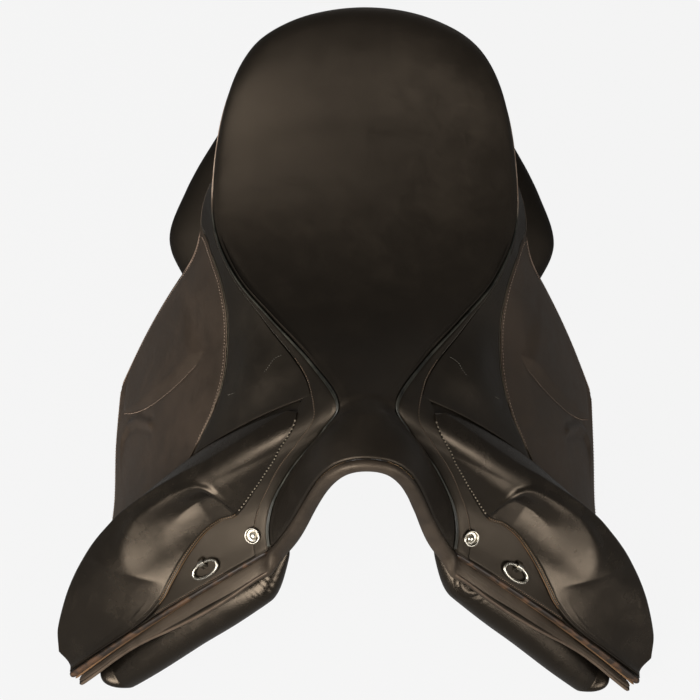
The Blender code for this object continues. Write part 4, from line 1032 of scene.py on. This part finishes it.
def blockOutline(t, w):
    inner = spline(block["inner"], t * (len(block["inner"]) - 1))
    rear = spline(block["rear"], t * (len(block["rear"]) - 1))
    return mix(inner[0], rear[0], w), mix(inner[1], rear[1], w)


def hollowEdge(t):
    # how far across the block its front hollow reaches, at a place along it
    spots = block["hollowAt"]
    if t <= spots[0] or t >= spots[-1]:
        return -0.06
    k = min(max(i for i, s in enumerate(spots) if s <= t), len(spots) - 2)
    share = (t - spots[k]) / (spots[k + 1] - spots[k])
    return spline([(v,) for v in block["hollowTo"]], k + share)[0]


def blockHeight(t, w):
    share = along(block["rise"], t)
    low = block["edge"] * min(1.0, 0.4 + share)
    ridge = block["ridge"]
    if w <= ridge:
        s = w / ridge
        face = mix(mix(s, s ** 1.6, 0.5), s ** 2.7, min(max((t - 0.70) / 0.28, 0.0), 1.0) ** 0.75)
    else:
        face = sqrt(max(1 - w, 0.0) / (1 - ridge))
    lift = low + (block["height"] * share - low) * face
    edge = hollowEdge(t)
    inside = edge - w
    if inside > 0:
        # its floor is a plain slope from the sewn edge to the foot of the crease
        s = edge / ridge
        later = smoothStep((t - 0.41) / 0.20)
        crease = low + (block["height"] * share - low) * mix(s, s ** 1.6, 0.5)
        floor = mix(0.6 * low, max(crease - block["scoop"] * mix(1.0, 0.40, later), 0.35 * crease), w / edge)
        depth = smoothStep(inside / mix(0.12, 0.34, later)) * smoothStep((0.76 - t) / 0.20)
        lift = mix(lift, min(lift, floor), depth)
    lift += block["lip"] * bell(inside + 0.05, 0.07) * smoothStep((t - 0.30) / 0.06) * smoothStep((0.72 - t) / 0.14)
    return lift


def makeBlock():
    rows, across = 170, 120
    bottom = facingTop + 0.0004
    low, high = [], []
    for i in range(rows + 1):
        t = i / rows
        lowRow, highRow = [], []
        for j in range(across + 1):
            w = 0.5 - 0.5 * cos(pi * j / across)
            p, f = blockOutline(t, w)
            point, normal = sidePoint(p, f), sideNormal(p, f)
            edge = w * block["across"]
            lift = blockHeight(t, w) - rimDrop(min(t, 1 - t) * 0.34, 0.003) - rimDrop(edge, 0.0016)
            lift -= 0.0009 * bell(edge - 0.0038, 0.0011)
            lift += noise.noise(point * 14) * 0.0006 + noise.noise(point * 45) * 0.00018
            # fine lines that bending has left across the lower part
            lines = sin(w * 52 + t * 9 + 2.2 * noise.noise(point * 12))
            lift += 0.00028 * smoothStep((t - 0.74) / 0.06) * smoothStep((0.98 - t) / 0.06) * max(lines, 0.0) ** 3
            highRow.append(point + normal * (bottom + lift))
            lowRow.append(point + normal * bottom)
        low.append(lowRow)
        high.append(highRow)
    piece = closedGrid("kneeBlock_left", low, high, 60)
    dressPair(piece, "kneeBlock", "blockHide", "flap_{}", "knee_block_{}")


makeBlock()


def blockEdge(first, last, inset, lift):
    # a line just inside the block's inner edge
    def spotAt(share):
        t, w = mix(first, last, share), inset / block["across"]
        return (*blockOutline(t, w), facingTop + 0.0004 + blockHeight(t, w) + lift)
    return sideRun(130, spotAt)


sew("blockStitches", blockEdge(0.02, 0.300, 0.0038, -0.0003), 1.35, "paleThread", "flap_{}")
sew("tabStitches", blockEdge(0.310, 0.775, 0.0030, -0.0003), 0.78, "orangeThread", "flap_{}")
rim("tabRim", blockEdge(0.305, 0.790, 0.0006, -0.0013), 0.0007, 0.0007, "tanHide", "flap_{}")
print("knee blocks done")


def arcPoint(v, y, off):
    t = abs(v)

    def at(s):
        return (bezier(0.0, 0.67 * halfPommel, 0.595 * halfPommel, halfPommel, s),
                bezier(0.0, 0.0, -0.58 * drop, -drop, s))

    x, z = at(t)
    x2, z2 = at(t + 0.01)
    normal = Vector((-(z2 - z), 0, x2 - x)).normalized()
    point = Vector((x, y + 0.07 * z, z)) + normal * off
    return Vector((point.x if v >= 0 else -point.x, point.y, point.z)) + floorShift


sweat = {
    "depth": 0.0185, "thick": 0.0030, "longer": 0.010, "rear": 0.90,
    # how far its front edge stands ahead of the flap, from the arch down to the foot, as p
    "front": [-0.064, -0.066, -0.073, -0.073, -0.066, -0.054, -0.038, -0.026, -0.020, -0.018, -0.012],
    "bandHalf": 0.0042,
}
sweatTop = [0.12, 0.16, 0.21, 0.22, 0.20, 0.16, 0.13]


def sweatFrontP(f):
    return along(sweat["front"], min(max(f, 0.0), 1.0))


def makeFrontBand():
    # one rolled leather that lines the arch and runs on down both sides along the sweat flaps
    arch = []
    for i in range(61):
        v = i / 60 * 0.985
        point = arcPoint(v, -0.0035, -0.0085)
        arch.append((point, (arcPoint(v, -0.0035, 0.01) - point).normalized(),
                     (0.0052, mix(0.0070, 0.0086, smoothStep((v - 0.6) / 0.3)))))
    side = []
    for k in range(121):
        f = mix(0.085, 0.994, k / 120)
        half = max(0.5 * (-0.004 - sweatFrontP(f)), sweat["bandHalf"] / saddle["sideLength"])
        p = sweatFrontP(f) + 0.88 * half
        normal = sideNormal(p, f)
        high = mix(0.0036, 0.0017, smoothStep((f - 0.10) / 0.25))
        side.append((sidePoint(p, f) + normal * (sweat["thick"] - sweat["depth"] + 0.0004), normal,
                     (half * saddle["sideLength"], high)))
    bridge = []
    a, b = arch[-1], side[0]
    reach = (b[0] - a[0]).length * 0.45
    startRun = (a[0] - arch[-2][0]).normalized() * reach
    endRun = (side[1][0] - b[0]).normalized() * reach
    for k in range(1, 16):
        t = k / 16
        s = smoothStep(t)
        bridge.append((bezier(a[0], a[0] + startRun, b[0] - endRun, b[0], t), a[1].lerp(b[1], s).normalized(),
                       (mix(a[2][0], b[2][0], s) + 0.0045 * sin(pi * t), mix(a[2][1], b[2][1], s))))
    half = arch + bridge + side
    flip = Vector((-1, 1, 1))
    other = [(spot * flip, up * flip, size) for spot, up, size in reversed(half[1:])]
    whole = other + half
    piece = band("frontBand", [w[0] for w in whole], [w[1] for w in whole], [w[2] for w in whole], 20, 4, 0.85)
    dress(piece, "liningHide", tree, "arch_lining")
    sewn = bridge[6:] + side[:-4]
    points = [spot + up * (size[1] - 0.0001) for spot, up, size in sewn]
    sew("bandStitches", (points, [up for spot, up, size in sewn]), 0.62, "darkThread", tree)


makeFrontBand()


def frontRun(first, last, off, ahead):
    points, ups = sideRun(240, lambda share: (0.0, mix(first, last, share), off))
    return [point + Vector((0, ahead, 0)) for point in points], ups


def edgeShape(share, turn):
    return 1.0 + 0.16 * noise.noise(Vector((share * 22, 1.5 * cos(turn), 3.0))) * sin(turn / 2) ** 2


rim("flapEdge", frontRun(0.012, 0.992, coreTop - flapThick / 2 + 0.0008, -0.0022), 0.0025, 0.0038, "edge", "",
    "edge_roll_{}", around=16, ends=6, shape=edgeShape)
blendPair("flapEdge", (0.0, 0.105), (0.0, 0.170))
rim("flapBinding", frontRun(0.020, 0.985, coreTop - flapThick - 0.0016, -0.0032), 0.0011, 0.0012, "tanHide", "", ends=5)
blendPair("flapBinding", (0.0, 0.105), (0.0, 0.170))


def makeSweatFlap():
    floorLevel = -saddle["flapDrop"] - sweat["longer"] + floorShift.z
    across, down = 70, 60
    low, high = [], []
    for i in range(across + 1):
        a = (i / across) ** 1.25
        lowRow, highRow = [], []
        for j in range(down + 1):
            b = j / down
            f = mix(along(sweatTop, a), 1.0, b)
            p = mix(sweatFrontP(f), sweat["rear"], a)
            normal = sideNormal(p, f)
            spot = sidePoint(p, f)
            longer = smoothStep(a / 0.25) * smoothStep((0.90 - a) / 0.25) * b ** 4
            spot.z = mix(spot.z, floorLevel + 0.0002, longer)
            gap = min(a * 0.31, (1 - a) * 0.31, (1 - b) * 0.25)
            top = -sweat["depth"] + sweat["thick"] - rimDrop(gap, 0.0011) - 0.0005 * bell(gap - 0.0045, 0.001)
            for row, off in ((lowRow, -sweat["depth"]), (highRow, top)):
                point = spot + normal * off
                point.z = max(point.z, floorLevel)
                row.append(point)
        low.append(lowRow)
        high.append(highRow)
    piece = closedGrid("sweatFlap_left", low, high, 50)
    dressPair(piece, "sweatFlap", "blackHide", tree, "sweat_flap_{}")

    def weltSpot(share):
        f = mix(0.030, 0.996, share)
        lift = 0.0012 - sweat["depth"] + 0.0012 * (1 - smoothStep(f / 0.2))
        return sweatFrontP(f) - 0.0008 / saddle["sideLength"], f, lift
    rim("sweatWelt", sideRun(180, weltSpot), 0.0017, 0.0018, "bindHide", tree, "sweat_piping_{}", around=10, ends=4)


makeSweatFlap()

roll = {"thick": 0.046, "forward": 0.042, "top": 0.006, "foot": 0.995, "fill": 0.75,
        # how far it stands forward at its top and foot, and how its upper end tapers; the two sides differ a little
        "left": (1.0, 0.58, 2.6, 0.5), "right": (1.2, 0.60, 2.6, 0.5)}


def makeFrontRoll(side, word):
    steps, around = 170, 64
    outer = sweat["depth"] + 0.0012
    floorLevel = -saddle["flapDrop"] - sweat["longer"] + floorShift.z + 0.0006
    foldHead = sidePoint(sweatFrontP(0.150), 0.150) - sideNormal(0.0, 0.150) * 0.017
    reachTop, reachFoot, bend, power = roll[word]
    rings = []
    for i in range(steps + 1):
        b = 0.5 - 0.5 * cos(pi * i / steps)
        f = mix(roll["top"], roll["foot"], b)
        swell = (1 - abs(2 * b - 1) ** 3.2) ** 0.42 if b > 0.5 else (1 - (1 - 2 * b) ** bend) ** power
        swell = max(swell if 0 < b < 1 else 0.0, 0.05)
        normal = sideNormal(0.0, f)
        tangent = (sidePoint(0.0, f + 0.02) - sidePoint(0.0, f - 0.02)).normalized()
        forward = tangent.cross(normal).normalized()
        if forward.y > 0:
            forward = -forward
        half = roll["thick"] / 2 * swell
        wide = 0.5 * (roll["forward"] + mix(0.014, 0.034, smoothStep(b * 1.6))) * swell
        centre = sidePoint(0.0, f) - normal * (outer + 0.004 * b + roll["thick"] / 2)
        reach = mix(reachTop, reachFoot, b) * mix(0.62, 1.0, smoothStep(b / 0.16))
        centre += forward * (roll["forward"] * reach - wide / swell)
        ring = []
        for k in range(around):
            turn = 2 * pi * k / around
            c, s = cos(turn), sin(turn)
            point = centre + forward * (wide * signed(c, 0.85)) + normal * (half * signed(s, 0.9))
            # gathers beside the piping, and nested folds round the place where the roll is sewn in at its top
            facingUp = smoothStep((s + 0.1) / 0.7)
            fine = sin(b * 210 + 5 * noise.noise(point * 24)) * max(noise.noise(point * 35 + Vector((7, 0, 0))), 0.0)
            wrinkle = 0.0009 * fine * facingUp * smoothStep((0.75 - b) / 0.3) * smoothStep((0.4 - c) / 0.5)
            away = (point - foldHead).length + 0.0035 * noise.noise(point * 26)
            if side > 0:
                ripple = abs(sin(pi * away / 0.0062)) ** 0.6 * 0.0016 - 0.0008
                within = smoothStep((away - 0.004) / 0.006) * smoothStep((0.040 - away) / 0.020)
                wrinkle += ripple * within * smoothStep((c + 0.3) / 0.8)
            else:
                gathers = max(sin(b * 330 + 6 * c + 4 * noise.noise(point * 18)), 0.0)
                wrinkle += 0.0007 * gathers * bell(b - 0.12, 0.06) * facingUp
            wrinkle += noise.noise(point * 20) * 0.0008
            direction = (point - centre).normalized()
            point += direction * (wrinkle - 0.0006)
            ring.append(Vector((side * point.x, point.y, point.z)))
        sunk = max(floorLevel - min(point.z for point in ring), 0.0)
        rings.append([point + Vector((0, 0, sunk)) for point in ring])
    piece = closedRings("frontRoll_" + word, rings, 60)
    dress(piece, "rollHide", tree, "front_roll_" + word)


for side, word in ((1, "left"), (-1, "right")):
    makeFrontRoll(side, word)
print("front edges done")


panel = {"rearSpread": 0.408, "fill": 0.7}
halfRear = panel["rearSpread"] / 2
panelStations = [
    (0.050, 0.090, -0.150, 0.030, 0.014, 50), (0.070, 0.092, -0.145, 0.046, 0.018, 50),
    (0.120, 0.096, -0.140, 0.056, 0.019, 48), (0.180, 0.100, -0.143, 0.062, 0.020, 42),
    (0.240, 0.101, -0.142, 0.061, 0.021, 36), (0.290, halfRear - 0.0965, -0.134, 0.082, 0.024, 28),
    (0.330, halfRear - 0.087, -0.117, 0.089, 0.027, 22), (0.370, halfRear - 0.098, -0.096, 0.081, 0.028, 16),
    (0.410, 0.090, -0.074, 0.066, 0.028, 11), (0.445, 0.076, -0.056, 0.050, 0.025, 6),
    (0.468, 0.062, -0.044, 0.033, 0.017, 2),
]


def panelPoint(share, turn, grow=0.0):
    y, x, z, wide, thick, tilt = spline(panelStations, share * (len(panelStations) - 1))
    u = Vector((cos(radians(tilt)), 0, -sin(radians(tilt))))
    w = Vector((sin(radians(tilt)), 0, cos(radians(tilt))))
    c, s = cos(turn), sin(turn)
    a = (wide + grow) * signed(c, 0.75)
    b = (thick + grow) * signed(s, 0.8)
    return Vector((x, y, z)) + u * a + w * b + floorShift, u, w


def makePanel():
    rows, around = 110, 64
    rings = []
    for i in range(rows + 1):
        share = i / rows
        ring = []
        for k in range(around):
            turn = 2 * pi * k / around
            point, u, w = panelPoint(share, turn, -0.0008)
            puff = noise.noise(point * 16) * 0.0012 + noise.noise(point * 55) * 0.0003
            seam = (bell(sin(turn) + 0.247, 0.05) + bell(sin(turn) + 0.783, 0.05)) * (1 if cos(turn) > 0 else 0)
            direction = (u * cos(turn) + w * sin(turn)).normalized()
            ring.append(point + direction * (puff - 0.0016 * seam))
        rings.append(ring)
    piece = closedRings("panel_left_cushion", rings, 60)
    dressPair(piece, "panel_cushion", "panelHide", tree, "panel_{}")
    for number, turn in ((1, -0.25), (2, -0.90)):
        path, ups = [], []
        for i in range(121):
            share = mix(0.10, 0.985, i / 120)
            point, u, w = panelPoint(share, turn, -0.0010)
            path.append(point)
            ups.append((u * cos(turn) + w * sin(turn)).normalized())
        rim("panelWelt_%d" % number, (path, ups), 0.0018, 0.0018, "blackHide", tree)


makePanel()
print("panels done")


def sideFrame(p, f, off):
    out = sideNormal(p, f)
    centre = sidePoint(p, f) + out * off
    down = sidePoint(p, f + 0.02) - sidePoint(p, f - 0.02)
    down = (down - out * down.dot(out)).normalized()
    rear = out.cross(down).normalized()
    return centre, rear, out, down


ring = {"p": 0.077, "f": 0.273, "long": 0.0315, "wide": 0.0145, "wire": 0.0018, "lift": 0.0012}
stud = {"p": 0.072, "f": 0.058, "radius": 0.0088, "height": 0.0040}


def turnedPiece(name, profile, centre, rear, out, around=40):
    rings = []
    down = out.cross(rear).normalized()
    for radius, height in profile:
        turns = [2 * pi * k / around for k in range(around)]
        rings.append([centre + out * height + (rear * cos(turn) + down * sin(turn)) * radius for turn in turns])
    return closedRings(name, rings, 50)


def makeStuds():
    centre, rear, out, down = sideFrame(stud["p"], stud["f"], 0.0005)
    r, h = stud["radius"], stud["height"]
    profile = [(0.98 * r, 0.0), (r, 0.20 * h), (r, 0.45 * h), (0.96 * r, 0.72 * h), (0.89 * r, 0.86 * h),
               (0.81 * r, 0.86 * h), (0.74 * r, 0.70 * h), (0.70 * r, 0.40 * h), (0.68 * r, 0.12 * h),
               (0.50 * r, 0.08 * h), (0.46 * r, 0.30 * h), (0.40 * r, 0.55 * h), (0.28 * r, 0.72 * h),
               (0.14 * r, 0.80 * h), (0.03 * r, 0.82 * h)]
    piece = turnedPiece("stud_left_cap", profile, centre, rear, out)
    dressPair(piece, "stud_cap", "nickel", tree, "stud_{}")


makeStuds()


def makeRings():
    lift = ring["wire"] + ring["lift"]
    centre, rear, out, down = sideFrame(ring["p"], ring["f"], lift)
    half, wide, wire = ring["long"] / 2, ring["wide"], ring["wire"]
    steps, around = 96, 14
    path = []
    for k in range(steps):
        turn = 2 * pi * k / steps
        a = cos(turn) * half
        b = wide / 2 * (1 + signed(sin(turn), 0.9))
        path.append(centre + down * a - rear * b)
    verts, faces = [], []
    for k, point in enumerate(path):
        ahead = (path[(k + 1) % steps] - path[k - 1]).normalized()
        across = out.cross(ahead).normalized()
        for j in range(around):
            turn = 2 * pi * j / around
            verts.append(point + across * (cos(turn) * wire) + out * (sin(turn) * wire))
    for k in range(steps):
        n = (k + 1) % steps
        for j in range(around):
            m = (j + 1) % around
            faces.append((k * around + j, k * around + m, n * around + m, n * around + j))
    piece = makeMesh("dRing_left", verts, faces, 60)
    dressPair(piece, "dRing", "nickel", "ring_{}", "d_ring_{}")
    base, rear, out, down = sideFrame(ring["p"], ring["f"], 0.0)
    inner, wall, half = wire + 0.0012, 0.0010, 0.0038
    top = 2 * wire + ring["lift"] + 0.0006
    bend = [(-cos(pi * k / 10) * inner, 0.0012 + sin(pi * k / 10) * (top - 0.0012)) for k in range(11)]
    arc = [(-inner - 0.0016, 0.0003), *bend, (inner + 0.0016, 0.0003)]
    lowRows, highRows = [], []
    push, across = 1 + wall / inner, (-1, -0.5, 0, 0.5, 1)
    for a, b in arc:
        raised = b + wall * (b > 0.001)
        lowRows.append([base + rear * a + out * b + down * s * half for s in across])
        highRows.append([base + rear * (a * push) + out * raised + down * s * half * 0.94 for s in across])
    piece = closedGrid("ringStaple_left", lowRows, highRows, 45)
    dressPair(piece, "ringStaple", "nickel", "flap_{}", "ring_staple_{}")


makeRings()
print("metal done")


def smoothCopy(node, paint):
    # a merged, smooth shaded copy of a solid
    source = nodes[node]
    mesh = source.data.copy()
    bm = bmesh.new()
    bm.from_mesh(mesh)
    bmesh.ops.remove_doubles(bm, verts=bm.verts, dist=1e-6)
    bmesh.ops.join_triangles(bm, faces=bm.faces, angle_face_threshold=radians(25), angle_shape_threshold=radians(50),
                             cmp_seam=False, cmp_sharp=False, cmp_uvs=False, cmp_vcols=False, cmp_materials=False)
    bm.to_mesh(mesh)
    bm.free()
    mesh.shade_smooth()
    mesh.set_sharp_from_angle(angle=radians(35))
    piece = addObject(node + "_smooth", mesh)
    body = next(name for name, group in frame["record"]["behaviour"]["bodies"].items() if node in group)
    dress(piece, paint, body, node)


for node in ("cantle_facing", "billet_front_left", "billet_front_right", "billet_rear_left", "billet_rear_right"):
    smoothCopy(node, "brownHide" if node.startswith("billet") else "blackHide")
print("copies done")


studio = {
    "world": 0.03, "mirror": 0.12, "floorPale": 0.90, "floorColour": (0.13, 0.13, 0.129, 1),
    "camera": (-0.0928, -1.3295, 2.5100), "azimuth": -3.0, "elevation": 60.0, "roll": 3.4,
    "lens": 36 * 3000 / 700,  # 3000 px of focal length in a 700 px frame
}


def mathNode(tree, operation, first, second):
    node = tree.nodes.new("ShaderNodeMath")
    node.operation = operation
    for slot, value in zip(node.inputs, (first, second)):
        if isinstance(value, float):
            slot.default_value = value
        else:
            tree.links.new(value, slot)
    return node.outputs[0]


def paleRays(tree):
    # camera rays see the pale ground in full, mirror and clear rays a part of it
    rays = tree.nodes.new("ShaderNodeLightPath").outputs
    mirror = mathNode(tree, "MAXIMUM", rays["Is Glossy Ray"], rays["Is Transmission Ray"])
    return mathNode(tree, "MAXIMUM", rays["Is Camera Ray"], mathNode(tree, "MULTIPLY", mirror, studio["mirror"]))


def mixShaders(tree, share, first, second, output):
    blend = tree.nodes.new("ShaderNodeMixShader")
    for slot, socket in zip(blend.inputs, (share, first, second)):
        tree.links.new(socket, slot)
    tree.links.new(blend.outputs[0], tree.nodes[output].inputs[0])


def makeStage():
    bpy.ops.object.select_all(action="DESELECT")
    bpy.ops.mesh.primitive_plane_add(size=14, location=(0, 0, -0.0006))
    floor = bpy.context.object
    floor.name = "studioFloor"
    material = bpy.data.materials.new("paleFloor")
    material.use_nodes = True
    tree = material.node_tree
    shader = tree.nodes["Principled BSDF"]
    shader.inputs["Base Color"].default_value = studio["floorColour"]
    shader.inputs["Roughness"].default_value = 0.9
    glow = tree.nodes.new("ShaderNodeEmission")
    glow.inputs["Color"].default_value = (1, 1, 1, 1)
    glow.inputs["Strength"].default_value = 1.0
    share = mathNode(tree, "MULTIPLY", paleRays(tree), studio["floorPale"])
    mixShaders(tree, share, shader.outputs[0], glow.outputs[0], "Material Output")
    floor.data.materials.append(material)
    world = bpy.data.worlds.new("studioWorld")
    world.use_nodes = True
    tree = world.node_tree
    ground = tree.nodes["Background"]
    ground.inputs["Color"].default_value = (1.0, 0.97, 0.93, 1)
    ground.inputs["Strength"].default_value = studio["world"]
    bright = tree.nodes.new("ShaderNodeBackground")
    bright.inputs["Color"].default_value = (1, 1, 1, 1)
    mixShaders(tree, paleRays(tree), ground.outputs[0], bright.outputs[0], "World Output")
    scene.world = world


def addLamp(name, place, target, size, power, colour=(1.0, 0.97, 0.93)):
    data = bpy.data.lights.new(name, "AREA")
    data.shape = "RECTANGLE"
    data.size, data.size_y = size
    data.energy = power
    data.color = colour
    lamp = addObject(name, data)
    lamp.location = place
    lamp.rotation_euler = (Vector(target) - lamp.location).to_track_quat("-Z", "Y").to_euler()


def makeCamera():
    az, el, turn = radians(studio["azimuth"]), radians(studio["elevation"]), radians(studio["roll"])
    ahead = Vector((-sin(az) * cos(el), cos(az) * cos(el), -sin(el)))
    flat = Vector((cos(az), sin(az), 0))
    over = flat.cross(ahead)
    right = flat * cos(turn) + over * sin(turn)
    up = over * cos(turn) - flat * sin(turn)
    place = Vector(studio["camera"]) + floorShift
    data = bpy.data.cameras.new("photoCamera")
    data.sensor_width = 36
    data.lens = studio["lens"]
    data.clip_end = 30
    camera = addObject("photoCamera", data)
    camera.matrix_world = Matrix(((right.x, up.x, -ahead.x, place.x), (right.y, up.y, -ahead.y, place.y),
                                  (right.z, up.z, -ahead.z, place.z), (0, 0, 0, 1)))
    scene.camera = camera


makeStage()
makeCamera()
addLamp("frontLeftLight", (-1.30, -1.95, 1.45), (0, -0.1, 0.25), (1.9, 1.3), 92)
addLamp("frontRightLight", (1.75, -1.85, 0.95), (0, -0.1, 0.25), (1.4, 0.9), 30)
addLamp("topLight", (-1.15, -0.60, 2.55), (0, 0.1, 0.3), (0.6, 0.6), 6)
addLamp("rearFill", (0.6, 2.6, 0.8), (0, 0, 0.25), (2.6, 0.8), 4, (1.0, 0.98, 0.96))
scene.view_settings.view_transform = "Standard"
print("stage done")
